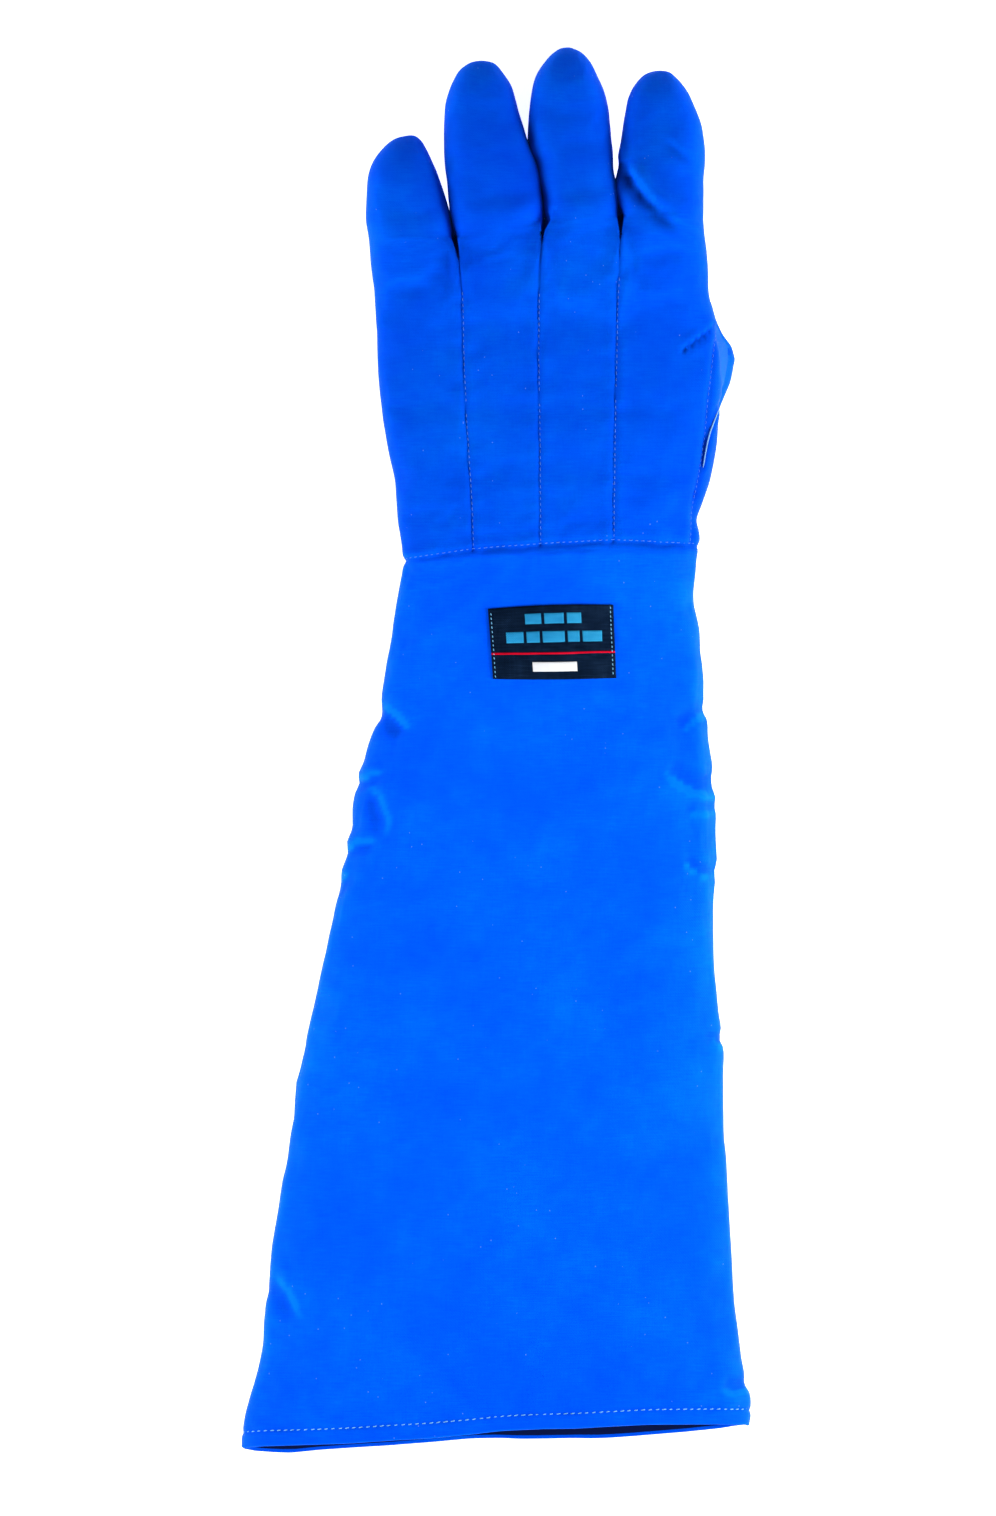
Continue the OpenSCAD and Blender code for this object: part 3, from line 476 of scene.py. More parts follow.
for k in range(4):
    for I, sgn in ((FT[k], 1), (FB[k], -1)):
        p = CO[I]
        fx, fy = p[..., 0], p[..., 1]
        b, sm = soft(fx + (0 if sgn > 0 else 300), fy)
        across = np.broadcast_to(2 * fcol - 1, fx.shape)
        d = 0.35 * b * (1 - np.abs(across) ** 6) + sm
        d += 0.30 * noise(fy / 9 + 10 * k, np.sign(across) * 2.5, 41) * np.abs(across) ** 12
        if sgn > 0:
            d = d + folds(fx, fy)
        else:
            cx, cy, g = CREASE[k]
            u = -(fx - cx) * math.sin(math.radians(g)) + (fy - cy) * math.cos(math.radians(g))
            for uk in (1.5, LENGTH[k] * 0.47):
                d = d - 0.9 * np.exp(-((u - uk) / 2.2) ** 2) * (1 - np.abs(across) ** 4)
        d[0] = disp[I[0]]
        d[1:] = d[1:]
        ramp = step(np.arange(NF + 1) / 7.0)[:, None]
        base = disp[I[0]][None, :]
        d = d * ramp + base * (1 - ramp) * np.exp(-np.arange(NF + 1) / 3.0)[:, None] / np.maximum(1e-9, 1)
        d[0] = disp[I[0]]
        sf = np.zeros(fx.shape)
        if sgn > 0:
            sf = shade_of(fx, fy)
            win = step(np.arange(NF + 1) / 6.0)[:, None] * step((NF * 0.62 - np.arange(NF + 1)) / 14.0)[:, None]
            if k > 0:       # painted shade on the sunken side next to the neighbouring finger
                sf = sf + [0, 0.45, 0.85, 0.60][k] * np.clip((-across - 0.62) / 0.38, 0, 1) ** 1.5 * win * (1 + 0.6 * noise(fx / 2.6, fy / 7, 73))
            # painted shade along the finger's other side edge
            if k < 3:
                sf = sf + 0.30 * np.clip((across - 0.80) / 0.20, 0, 1) ** 1.5 * win
        fade_in = step(np.arange(NF + 1) / 4.0)[:, None]
        SHADE[I[1:NF + (sgn > 0), 1:M].ravel()] = (sf * fade_in + SHADE[I[0]][None, :] * (1 - fade_in))[1:NF + (sgn > 0), 1:M].ravel()
        if sgn > 0:
            SHADE[I[1:NF, 0]], SHADE[I[1:NF, M]] = sf[1:NF, 1], sf[1:NF, M - 1]
        if sgn > 0:
            disp[I[1:].ravel()] = d[1:].ravel()
        else:
            disp[I[1:NF, 1:M].ravel()] = d[1:NF, 1:M].ravel()


def cloth_pass(pressure=0.5, grow=0.03, frames=20, share=0.40, cap=0.75):
    """The skin as a cloth held along its seams, slightly too large for them and pushed out from inside:
    the wrinkles it settles into along the skin's normals, in mm, for every skin vertex. The broad shape
    is the photographed one already, so only the part of the movement narrower than a fold is kept."""
    faces = clean(grid_faces(TI, False, sr=2, sc=2)) + clean(grid_faces(BI, True, sr=2, sc=2))
    for k in range(4):
        faces += clean(grid_faces(FT[k], False, sr=2, sc=2)) + clean(grid_faces(FB[k], True, sr=2, sc=2))
    used = np.unique(np.array([v for f in faces for v in f]))
    index = np.full(len(CO), -1)
    index[used] = np.arange(len(used))
    pin = np.zeros(len(CO))
    for G in (TI, BI):
        pin[G[:3].ravel()] = 1
        pin[G[NS - 1:NS + 2].ravel()] = 1
        pin[G[:, 0]], pin[G[:, -1]] = 1, 1
        for k in (1, 2, 3):
            pin[G[NS:, k * M]] = 1
    for k in range(4):
        for F in (FT[k], FB[k]):
            pin[F[:, 0]], pin[F[:, -1]], pin[F[-2:].ravel()] = 1, 1, 1
    mesh = bpy.data.meshes.new("cloth_pass")
    mesh.from_pydata((CO[used] * MM).tolist(), [], [tuple(int(index[v]) for v in f) for f in faces])
    mesh.update()
    ob = bpy.data.objects.new("cloth_pass", mesh)
    bpy.context.scene.collection.objects.link(ob)
    group = ob.vertex_groups.new(name="pin")
    group.add([int(i) for i in np.nonzero(pin[used] > 0)[0]], 1.0, "REPLACE")
    mod = ob.modifiers.new("cloth", "CLOTH")
    st = mod.settings
    st.quality = 5
    st.mass = 0.3
    st.tension_stiffness = st.compression_stiffness = 15
    st.shear_stiffness = 5
    st.bending_stiffness = 0.5
    st.use_pressure = True
    st.uniform_pressure_force = pressure
    st.shrink_min = -grow
    st.vertex_group_mass = "pin"
    st.effector_weights.gravity = 0
    mod.collision_settings.use_collision = False
    mod.point_cache.frame_start, mod.point_cache.frame_end = 1, frames
    scene = bpy.context.scene
    for f in range(1, frames + 1):
        scene.frame_set(f)
    ev = ob.evaluated_get(bpy.context.evaluated_depsgraph_get())
    out = ev.to_mesh()
    q = np.zeros(len(used) * 3)
    out.vertices.foreach_get("co", q)
    ev.to_mesh_clear()
    scene.frame_set(1)
    bpy.data.objects.remove(ob)
    bpy.data.meshes.remove(mesh)
    moved = ((q.reshape(-1, 3) / MM - CO[used]) * NSM[used]).sum(1)
    moved = np.where(np.isfinite(moved), np.clip(moved, -30, 30), 0.0)
    full_d = np.zeros(len(CO))
    sparse = np.zeros(len(CO))
    sparse[used] = moved
    for I in [BI, TI] + FB + FT:
        R_, C_ = I.shape
        rr = np.array(list(range(0, R_ - 1, 2)) + [R_ - 1])
        cc = np.array(list(range(0, C_ - 1, 2)) + [C_ - 1])
        g = sparse[I[np.ix_(rr, cc)]]
        broad = g
        for _ in range(14):
            e = np.pad(broad, 1, mode="edge")
            broad = (e[:-2, 1:-1] + e[2:, 1:-1] + e[1:-1, :-2] + e[1:-1, 2:]) / 4
        g = cap * np.tanh(share * (g - broad) / cap)
        inr, inc = np.arange(len(rr)), np.arange(len(cc))
        g = g * np.clip(np.minimum(inr, inr[::-1]) / 3, 0, 1)[:, None] * np.clip(np.minimum(inc, inc[::-1]) / 3, 0, 1)[None, :]
        if len(I) > 2 * NF:
            held = (rr >= NS) & np.ones(len(rr), bool)
            to_seam = np.min([np.abs(cc - k * M) for k in (1, 2, 3)], axis=0) / 2
            g = np.where(held[:, None], g * np.clip(to_seam / 2, 0, 1)[None, :], g)
            g = g * np.clip(np.abs(rr - NS) / 5, 0, 1)[:, None]
        else:
            g = g * 0.6
        g = np.array([np.interp(np.arange(C_), cc, row) for row in g])
        g = np.array([np.interp(np.arange(R_), rr, col) for col in g.T]).T
        full_d[I] = g
    return full_d


disp += cloth_pass()
for G in (TI, BI):
    d_ = disp[G[:NS]]
    disp[G[:NS]] = np.where(d_ < 0, -1.3 * np.tanh(-d_ / 1.3), 2.2 * np.tanh(d_ / 2.2))
# the sleeve's sides stand out a little further than the flat pattern
out_r = np.interp(xy[:NS, -1, 1], [225, 238, 262, 278, 302, 322, 348, 362, 382, 400], [0, 0.6, 1.7, 2.2, 2.4, 1.5, 2.1, 1.2, 0.9, 0])
out_l = np.interp(xy[:NS, 0, 1], [150, 166, 182, 288, 303, 320, 338], [0, 1.0, 0, 0, 1.2, 0.3, 0])
for G in (TI, BI):
    near_r = step(1 - (np.arange(NC + 1)[::-1]) / 14.0)
    near_l = step(1 - np.arange(NC + 1) / 14.0)
    flat_in = np.abs(NSM[G[:NS], 0])
    add = out_r[:, None] * near_r[None, :] + out_l[:, None] * near_l[None, :]
    extra = disp[G[:NS]] + add * np.clip(flat_in * 1.6, 0, 1)
    disp[G[:NS].ravel()] = extra.ravel()
OUT = CO + NSM * disp[:, None]
OUT[:, 2] = np.maximum(OUT[:, 2], -TABLE + 0.05)
NOUT = normals(OUT, ALL)

# height above the cloth's own average, for the painted shade of creases and the painted highlight of crowns; and a
# surface under every crease
PAINTED_SHADE_HIGHLIGHT = np.zeros(len(CO))
LOW = disp.copy()


def window_min(D, wr, wc):
    r, c = np.arange(D.shape[0]), np.arange(D.shape[1])
    out = D.copy()
    for dr in range(-wr, wr + 1):
        out = np.minimum(out, D[np.clip(r + dr, 0, len(r) - 1)])
    D = out.copy()
    for dc in range(-wc, wc + 1):
        out = np.minimum(out, D[:, np.clip(c + dc, 0, len(c) - 1)])
    return out


for I, wr, wc in [(TI, 5, 4), (BI, 5, 4)] + [(F, 4, 4) for F in FT + FB]:
    D = disp[I]
    W = D.copy()
    for _ in range(40):
        P = np.pad(W, 1, mode="edge")
        W = (P[:-2, 1:-1] + P[2:, 1:-1] + P[1:-1, :-2] + P[1:-1, 2:]) / 4
    PAINTED_SHADE_HIGHLIGHT[I] = D - W
    LOW[I] = np.minimum(LOW[I], window_min(D, wr, wc))
for k in range(4):
    for F, G in ((FT[k], TI), (FB[k], BI)):
        near_base = np.minimum(LOW[F[:5]], LOW[G[NR - 5:NR + 1, k * M:(k + 1) * M + 1]].min(0)[None, :])
        LOW[F[:5]] = near_base
        blend_rows = np.arange(10)[:, None] / 10.0
        PAINTED_SHADE_HIGHLIGHT[F[:10]] = PAINTED_SHADE_HIGHLIGHT[F[:10]] * blend_rows + PAINTED_SHADE_HIGHLIGHT[G[NR, k * M:(k + 1) * M + 1]][None, :] * (1 - blend_rows)
PAINTED_SHADE_HIGHLIGHT = np.clip(0.10 * PAINTED_SHADE_HIGHLIGHT, -0.12, 0.12) - SHADE

# painted shade: the cloth of the hand, and of the cuff's last few centimetres, is drawn a little deeper in colour where
# the lamps' light falls off
PAINTED_FALLOFF_SHADE = 0.26 * np.interp(CO[:, 1], [0, 30, 110, 416, 419, 500, 545, 580], [0.8, 0.6, 0.1, 0, 1, 0.9, 0.4, 0.05])
# painted shade along the fingers' side edges, stronger on the left side than on the right
for k in range(4):
    for F in (FT[k], FB[k]):
        c_ = np.arange(F.shape[1]) / (F.shape[1] - 1)
        side = 0.26 * np.clip(1 - c_ / 0.22, 0, 1) + 0.16 * np.clip(1 - (1 - c_) / 0.22, 0, 1)
        up = np.clip(np.arange(F.shape[0]) / 8.0, 0, 1)
        PAINTED_FALLOFF_SHADE[F] = np.maximum(PAINTED_FALLOFF_SHADE[F], side[None, :] * up[:, None])
INNER = CO + NSM * (np.minimum(LOW, 0.6) - 0.10)[:, None]
INNER[:, 2] = np.maximum(INNER[:, 2], -TABLE + 0.05)

# cloth coordinates for the weave: distance across and along, in mm
UVT, UVB = np.zeros((len(CO), 2)), np.zeros((len(CO), 2))
for G, UV in ((TI, UVT), (BI, UVB)):
    p = OUT[G]
    across = np.cumsum(np.linalg.norm(np.diff(p, axis=1, prepend=p[:, :1]), axis=-1), 1)
    across = across - across[:, NC // 2:NC // 2 + 1]
    along = np.cumsum(np.linalg.norm(np.diff(p, axis=0, prepend=p[:1]), axis=-1), 0)
    along = along * 0 + along.mean(1)[:, None] + (p[..., 1] - p[..., 1].mean(1)[:, None])
    UV[G.ravel()] = np.stack([across.ravel(), along.ravel()], -1)
for k in range(4):
    for G, UV in ((FT[k], UVT), (FB[k], UVB)):
        p = OUT[G]
        across = np.cumsum(np.linalg.norm(np.diff(p, axis=1, prepend=p[:, :1]), axis=-1), 1)
        across = across - across[:, M // 2:M // 2 + 1] + UV[G[0, M // 2], 0]
        along = np.cumsum(np.linalg.norm(np.diff(p[:, M // 2], axis=0, prepend=p[:1, M // 2]), axis=-1))
        vals = np.stack([across, along[:, None] + UV[G[0], 1][None, :]], -1)
        UV[G[1:].ravel()] = vals[1:].reshape(-1, 2)


# ---------------------------------------------------------------- materials
def fabric(name, base, deep, pale, rough=0.62, sheen=0.25, pitch=0.62, weave=0.35, fleck=0.0, fuzz=0.0, streak=1.0, spec=0.25, grain=0.5):
    mat = bpy.data.materials.new(name)
    mat.use_nodes = True
    nt = mat.node_tree
    nt.nodes.clear()
    N, K = nt.nodes, nt.links

    def node(kind, **kw):
        n = N.new(kind)
        for a, v in kw.items():
            if a == "inp":
                for i, val in v.items():
                    n.inputs[i].default_value = val
            else:
                setattr(n, a, v)
        return n

    def math_(op, a, b=None, clamp=False):
        n = N.new("ShaderNodeMath")
        n.operation = op
        n.use_clamp = clamp
        for i, v in enumerate((a, b)):
            if v is None:
                continue
            if isinstance(v, (int, float)):
                n.inputs[i].default_value = v
            else:
                K.new(v, n.inputs[i])
        return n.outputs[0]

    uv = node("ShaderNodeUVMap", uv_map="cloth")
    sep = node("ShaderNodeSeparateXYZ")
    K.new(uv.outputs[0], sep.inputs[0])
    U, V = sep.outputs[0], sep.outputs[1]          # in mm
    wu = math_("SINE", math_("MULTIPLY", U, 2 * math.pi / pitch))
    wv = math_("SINE", math_("MULTIPLY", V, 2 * math.pi / (pitch * 1.08)))
    # warp and weft trade places like a plain weave
    over = math_("MULTIPLY", math_("SINE", math_("MULTIPLY", U, math.pi / pitch)), math_("SINE", math_("MULTIPLY", V, math.pi / (pitch * 1.08))))
    weave_h = math_("ADD", math_("MULTIPLY", math_("ADD", wu, wv), 0.25), math_("MULTIPLY", over, 0.5))

    def noise_at(su, sv, scale, detail=3.0, rough_=0.55):
        mp = node("ShaderNodeMapping")
        mp.inputs["Scale"].default_value = (su, sv, 1)
        K.new(uv.outputs[0], mp.inputs[0])
        nz = node("ShaderNodeTexNoise", inp={"Scale": scale, "Detail": detail, "Roughness": rough_})
        K.new(mp.outputs[0], nz.inputs["Vector"])
        return nz.outputs["Fac"]

    cloud = noise_at(1, 1, 0.014, 4, 0.6)
    mid_n = noise_at(1, 1, 0.09, 3)
    lines = noise_at(0.10, 1.5, 1.1, 2)            # fine lines across the cloth
    lines2 = noise_at(1.4, 0.10, 0.9, 2)
    slub = noise_at(0.25, 2.2, 0.5, 2)
    att = node("ShaderNodeAttribute", attribute_name="painted_shade_and_highlight")      # painted shade in creases, painted highlight on crowns
    painted_shade_and_highlight = att.outputs["Fac"]
    crest = math_("MAXIMUM", painted_shade_and_highlight, 0.0)
    dark = math_("MULTIPLY", math_("MINIMUM", math_("MAXIMUM", math_("MULTIPLY", painted_shade_and_highlight, -1.0), 0.0), 1.0), 0.92)
    # painted shade: the darkening of the hand, the cuff's end and the fingers' sides is added to dark
    falloff_shade_attr = node("ShaderNodeAttribute", attribute_name="depth")
    dark = math_("ADD", dark, math_("MULTIPLY", math_("SUBTRACT", 1.0, dark), falloff_shade_attr.outputs["Fac"]), True)

    tone = math_("ADD", math_("MULTIPLY", math_("SUBTRACT", cloud, 0.5), 1.1),
                 math_("ADD", math_("MULTIPLY", math_("SUBTRACT", mid_n, 0.5), 0.40),
                       math_("MULTIPLY", math_("SUBTRACT", lines, 0.5), 0.55 * streak)))
    tone = math_("ADD", tone, math_("MULTIPLY", math_("SUBTRACT", lines2, 0.5), 0.22 * streak))
    tone = math_("ADD", tone, math_("MULTIPLY", weave_h, 0.16 * grain))
    # painted highlight: crests push the colour towards the pale end
    tone = math_("ADD", tone, math_("MULTIPLY", crest, 1.2))
    tone = math_("ADD", tone, 0.5, True)
    ramp = node("ShaderNodeValToRGB")
    e = ramp.color_ramp.elements
    e[0].position, e[0].color = 0.0, (*deep, 1)
    e[1].position, e[1].color = 1.0, (*pale, 1)
    mid_e = ramp.color_ramp.elements.new(0.5)
    mid_e.color = (*base, 1)
    K.new(tone, ramp.inputs[0])
    # painted shade: the colour is mixed towards near-black as dark rises
    crease = node("ShaderNodeMix", data_type="RGBA")
    K.new(dark, crease.inputs[0])
    K.new(ramp.outputs[0], crease.inputs[6])
    crease.inputs[7].default_value = tuple(c * 0.10 for c in deep) + (1,)
    colour = crease.outputs[2]
    if fleck > 0:
        vo = node("ShaderNodeTexVoronoi", inp={"Scale": 0.62})
        mp = node("ShaderNodeMapping")
        mp.inputs["Scale"].default_value = (1.0, 0.75, 1)
        K.new(uv.outputs[0], mp.inputs[0])
        K.new(mp.outputs[0], vo.inputs["Vector"])
        dots = math_("LESS_THAN", vo.outputs["Distance"], 0.14)
        sepc = node("ShaderNodeSeparateColor")
        K.new(vo.outputs["Color"], sepc.inputs[0])
        chosen = math_("GREATER_THAN", math_("ADD", sepc.outputs[0], math_("MULTIPLY", math_("SUBTRACT", cloud, 0.5), 0.35)), 1.0 - fleck)
        m = math_("MULTIPLY", math_("MULTIPLY", dots, chosen), 0.30)
        mix = node("ShaderNodeMix", data_type="RGBA")
        K.new(m, mix.inputs[0])
        K.new(colour, mix.inputs[6])
        mix.inputs[7].default_value = (0.30, 0.52, 1.0, 1)
        colour = mix.outputs[2]
    height = math_("ADD", math_("MULTIPLY", weave_h, weave), math_("MULTIPLY", math_("ADD", lines, lines2), 0.35 * streak))
    height = math_("ADD", height, math_("MULTIPLY", slub, 0.3 * streak))
    if fuzz > 0:
        height = math_("ADD", height, math_("MULTIPLY", noise_at(1, 1, 2.4, 5, 0.75), fuzz))
    bump = node("ShaderNodeBump", inp={"Strength": 0.5, "Distance": 0.00025})
    K.new(height, bump.inputs["Height"])
    rg = math_("ADD", rough - 0.06, math_("MULTIPLY", math_("ADD", lines, mid_n), 0.06), True)
    bs = node("ShaderNodeBsdfPrincipled")
    K.new(colour, bs.inputs["Base Color"])
    K.new(rg, bs.inputs["Roughness"])
    K.new(bump.outputs[0], bs.inputs["Normal"])
    bs.inputs["Specular IOR Level"].default_value = spec
    bs.inputs["Sheen Weight"].default_value = sheen
    bs.inputs["Sheen Roughness"].default_value = 0.45
    bs.inputs["Sheen Tint"].default_value = (pale[0], min(1, pale[1] * 2.6), pale[2], 1)
    bs.inputs["Specular Tint"].default_value = tuple(min(1.0, c * 1.3 + 0.02) for c in pale) + (1,)
    out = node("ShaderNodeOutputMaterial")
    K.new(bs.outputs[0], out.inputs[0])
    return mat


BLUE = fabric("shell_weave", (0.0, 0.094, 0.94), (0.0, 0.058, 0.88), (0.0, 0.150, 1.0), fleck=0.020, sheen=0.16, spec=0.03)
BLUE_P = fabric("palm_weave", (0.0, 0.086, 0.88), (0.0, 0.054, 0.82), (0.0, 0.135, 0.96), fleck=0.010, sheen=0.16, spec=0.03)
THREAD = fabric("sewing_thread", (0.16, 0.44, 0.70), (0.10, 0.34, 0.66), (0.30, 0.58, 0.80), pitch=0.3, streak=0.3, rough=0.5, spec=0.15)
THREAD_DIM = fabric("seam_thread", (0.075, 0.21, 0.78), (0.04, 0.15, 0.72), (0.15, 0.32, 0.84), pitch=0.3, streak=0.3, rough=0.55, spec=0.1)
CORD_M = fabric("pale_edging", (0.26, 0.50, 0.74), (0.16, 0.38, 0.68), (0.42, 0.62, 0.82), pitch=0.4, streak=0.3, rough=0.5, spec=0.15)
NAVY = fabric("brushed_lining", (0.004, 0.010, 0.070), (0.002, 0.005, 0.035), (0.012, 0.026, 0.13), rough=0.9, sheen=0.15, fuzz=1.0, pitch=1.1, weave=0.5, spec=0.1)
WHITE = fabric("padding_fibre", (0.82, 0.84, 0.86), (0.66, 0.68, 0.72), (0.93, 0.94, 0.96), rough=0.95, sheen=0.5, fuzz=1.4, pitch=2.4, weave=0.4, streak=0.5)
FILM = fabric("barrier_membrane", (0.76, 0.79, 0.83), (0.62, 0.66, 0.72), (0.90, 0.92, 0.95), rough=0.38, sheen=0.0, pitch=0.9, weave=0.15, spec=0.5)
BLACK = fabric("label_weave", (0.0020, 0.0085, 0.026), (0.0006, 0.0015, 0.005), (0.012, 0.030, 0.070), pitch=0.5, weave=0.8, rough=0.75, streak=1.6, sheen=0.0, grain=2.2, spec=0.08)
CYAN = fabric("label_thread_blue", (0.02, 0.27, 0.55), (0.006, 0.12, 0.34), (0.05, 0.46, 0.76), pitch=0.55, weave=0.9, rough=0.6, grain=2.0, spec=0.1)
RED = fabric("label_thread_red", (0.62, 0.002, 0.020), (0.42, 0.0, 0.01), (0.78, 0.01, 0.05), pitch=0.5, weave=0.9, rough=0.6, grain=1.4, spec=0.1)
PALE = fabric("label_thread_white", (0.80, 0.82, 0.85), (0.60, 0.62, 0.68), (0.95, 0.96, 0.98), pitch=0.55, weave=0.9, rough=0.6, grain=1.4, spec=0.1)


# ---------------------------------------------------------------- pieces from the skin
def piece(name, faces, d0, d1, mat, uvmap, co=None, nrm=None, outn=None, painted_light=None):
    """A closed sheet between two depths under the skin, with the skin's own normals on both faces."""
    co = OUT if co is None else co
    nrm = NSM if nrm is None else nrm
    outn = NOUT if outn is None else outn
    faces = clean(faces) if isinstance(faces, np.ndarray) else faces
    used = np.unique(np.array([v for f in faces for v in f]))
    index = {int(v): i for i, v in enumerate(used)}
    n = len(used)
    a = co[used] - nrm[used] * d0
    b = co[used] - nrm[used] * d1
    fo = [tuple(index[v] for v in f) for f in faces]
    fi = [tuple(v + n for v in reversed(f)) for f in fo]
    count = {}
    for f in fo:
        for i in range(len(f)):
            e = (f[i - 1], f[i])
            count[e] = count.get(e, 0) + 1
    rim = [(e[1], e[0], e[0] + n, e[1] + n) for e in count if (e[1], e[0]) not in count]
    pts = np.concatenate([a, b]) * MM
    mesh = bpy.data.meshes.new(name)
    mesh.from_pydata(pts.tolist(), [], fo + fi + rim)
    mesh.update()
    nloop = len(mesh.loops)
    vi = np.zeros(nloop, int)
    mesh.loops.foreach_get("vertex_index", vi)
    no = sum(len(f) for f in fo)
    ln = np.zeros((nloop, 3))
    on = outn[used]
    ln[:no] = on[vi[:no]]
    ln[no:2 * no] = -on[vi[no:2 * no] - n]
    pn = np.zeros(len(mesh.polygons) * 3)
    mesh.polygons.foreach_get("normal", pn)
    pn = pn.reshape(-1, 3)
    if rim:
        ln[2 * no:] = np.repeat(pn[len(fo) + len(fi):], 4, axis=0)
    layer = mesh.uv_layers.new(name="cloth")
    uv = uvmap[used][vi % n]
    layer.data.foreach_set("uv", uv.ravel())
    mesh.polygons.foreach_set("use_smooth", [True] * len(mesh.polygons))
    mesh.normals_split_custom_set(ln.tolist())
    # painted shade and highlight, and the painted falloff shade, carried as point attributes for the colour
    if painted_light is not None:
        at = mesh.attributes.new("painted_shade_and_highlight", "FLOAT", "POINT")
        at.data.foreach_set("value", np.r_[painted_light[used], painted_light[used]].astype(np.float32))
        at = mesh.attributes.new("depth", "FLOAT", "POINT")
        at.data.foreach_set("value", np.r_[PAINTED_FALLOFF_SHADE[used], PAINTED_FALLOFF_SHADE[used]].astype(np.float32))
    mesh.materials.append(mat)
    o = bpy.data.objects.new(name, mesh)
    bpy.context.scene.collection.objects.link(o)
    return o


def bend_elbow(o):
    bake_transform(o)


def bend_wrist(o):
    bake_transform(o)


SPLIT = [14.0, 22.5, 23.5, 20.5]


def bend_base(o, k):
    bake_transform(o)


def bend_tip(o, k):
    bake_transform(o)


r_a = int(np.argmin(np.abs(xy[:NS, NC // 2, 1] - 300)))
r_b = NS + int(np.argmin(np.abs(xy[NS:, NC // 2, 1] - 494)))
r_k = [int(np.argmin(np.abs(UC[k] - SPLIT[k]))) for k in range(4)]


def finish(o, slot, nodes, bend, *args):
    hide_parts(*nodes)
    bend(o, *args)
    return o


SH = (0.0, 0.75)
finish(piece("upper_sleeve_back_cloth", grid_faces(TI, False, 0, r_a), *SH, BLUE, UVT, painted_light=PAINTED_SHADE_HIGHLIGHT), "shell_blue", ["upper_sleeve_back_panel"], bend_elbow)
finish(piece("upper_sleeve_palm_cloth", grid_faces(BI, True, 0, r_a), *SH, BLUE_P, UVB, painted_light=PAINTED_SHADE_HIGHLIGHT), "panel_blue", ["upper_sleeve_palm_panel"], bend_elbow)
finish(piece("forearm_back_cloth", grid_faces(TI, False, r_a, NS), *SH, BLUE, UVT, painted_light=PAINTED_SHADE_HIGHLIGHT), "shell_blue", ["forearm_back_panel"], bend_wrist)
finish(piece("forearm_palm_cloth", grid_faces(BI, True, r_a, NS), *SH, BLUE_P, UVB, painted_light=PAINTED_SHADE_HIGHLIGHT), "panel_blue", ["forearm_palm_panel"], bend_wrist)
finish(piece("palm_heel_cloth", grid_faces(BI, True, NS, r_b), *SH, BLUE_P, UVB, painted_light=PAINTED_SHADE_HIGHLIGHT), "panel_blue", ["palm_panel"], bend_wrist)
for k, nm in enumerate(NAMES):
    c0, c1 = k * M, (k + 1) * M
    finish(piece(nm + "_back_strip_cloth", grid_faces(TI, False, NS, r_b, c0, c1), *SH, BLUE, UVT, painted_light=PAINTED_SHADE_HIGHLIGHT), "shell_blue", [nm + "_back_strip"], bend_wrist)
    f = clean(grid_faces(TI, False, r_b, NR, c0, c1)) + clean(grid_faces(FT[k], False, 0, r_k[k]))
    finish(piece(nm + "_base_back_cloth", f, *SH, BLUE, UVT, painted_light=PAINTED_SHADE_HIGHLIGHT), "shell_blue", [nm + "_base_back_panel"], bend_base, k)
    f = clean(grid_faces(BI, True, r_b, NR, c0, c1)) + clean(grid_faces(FB[k], True, 0, r_k[k]))
    finish(piece(nm + "_base_palm_cloth", f, *SH, BLUE_P, UVB, painted_light=PAINTED_SHADE_HIGHLIGHT), "panel_blue", [nm + "_base_palm_panel"], bend_base, k)
    finish(piece(nm + "_tip_back_cloth", clean(grid_faces(FT[k], False, r_k[k], NF)), *SH, BLUE, UVT, painted_light=PAINTED_SHADE_HIGHLIGHT), "shell_blue", [nm + "_tip_back_panel"], bend_tip, k)
    finish(piece(nm + "_tip_palm_cloth", clean(grid_faces(FB[k], True, r_k[k], NF)), *SH, BLUE_P, UVB, painted_light=PAINTED_SHADE_HIGHLIGHT), "panel_blue", [nm + "_tip_palm_panel"], bend_tip, k)

CROTCH = [BOUND[k][-1] for k in (1, 2, 3)]


def clear_of_crotch(faces):
    out = []
    for f in faces:
        c = CO[list(f)].mean(0)
        if min(math.hypot(c[0] - x_, (c[1] - y_) * 0.55) for x_, y_ in CROTCH) > 6.0:
            out.append(f)
    return out


# the layers inside: membrane, padding, lining
SR, SC = 4, 4
hem_row = int(np.argmin(np.abs(xy[:NS, NC // 2, 1] - xy[0, NC // 2, 1] - 15)))
from_edge = np.zeros(len(CO))
for G in (TI, BI):
    from_edge[G[:NS].ravel()] = (step(1 - (xy[:NS, NC // 2, 1] - xy[0, NC // 2, 1]) / 14.0)[:, None] * np.ones((1, NC + 1))).ravel()
LINING = INNER + NSM * (2.3 * from_edge)[:, None]
PAD = (1.45, 4.4)
LIN = (4.6, 5.3)
FLM = (0.9, 1.25)


def ring_faces(r0, r1, c0=0, c1=NC):
    return clean(grid_faces(TI, False, r0, r1, c0, c1, SR, SC)) + clean(grid_faces(BI, True, r0, r1, c0, c1, SR, SC))


def both(k, r0, r1):
    return clean(grid_faces(FT[k], False, r0, r1, None, None, 3, SC)) + clean(grid_faces(FB[k], True, r0, r1, None, None, 3, SC))


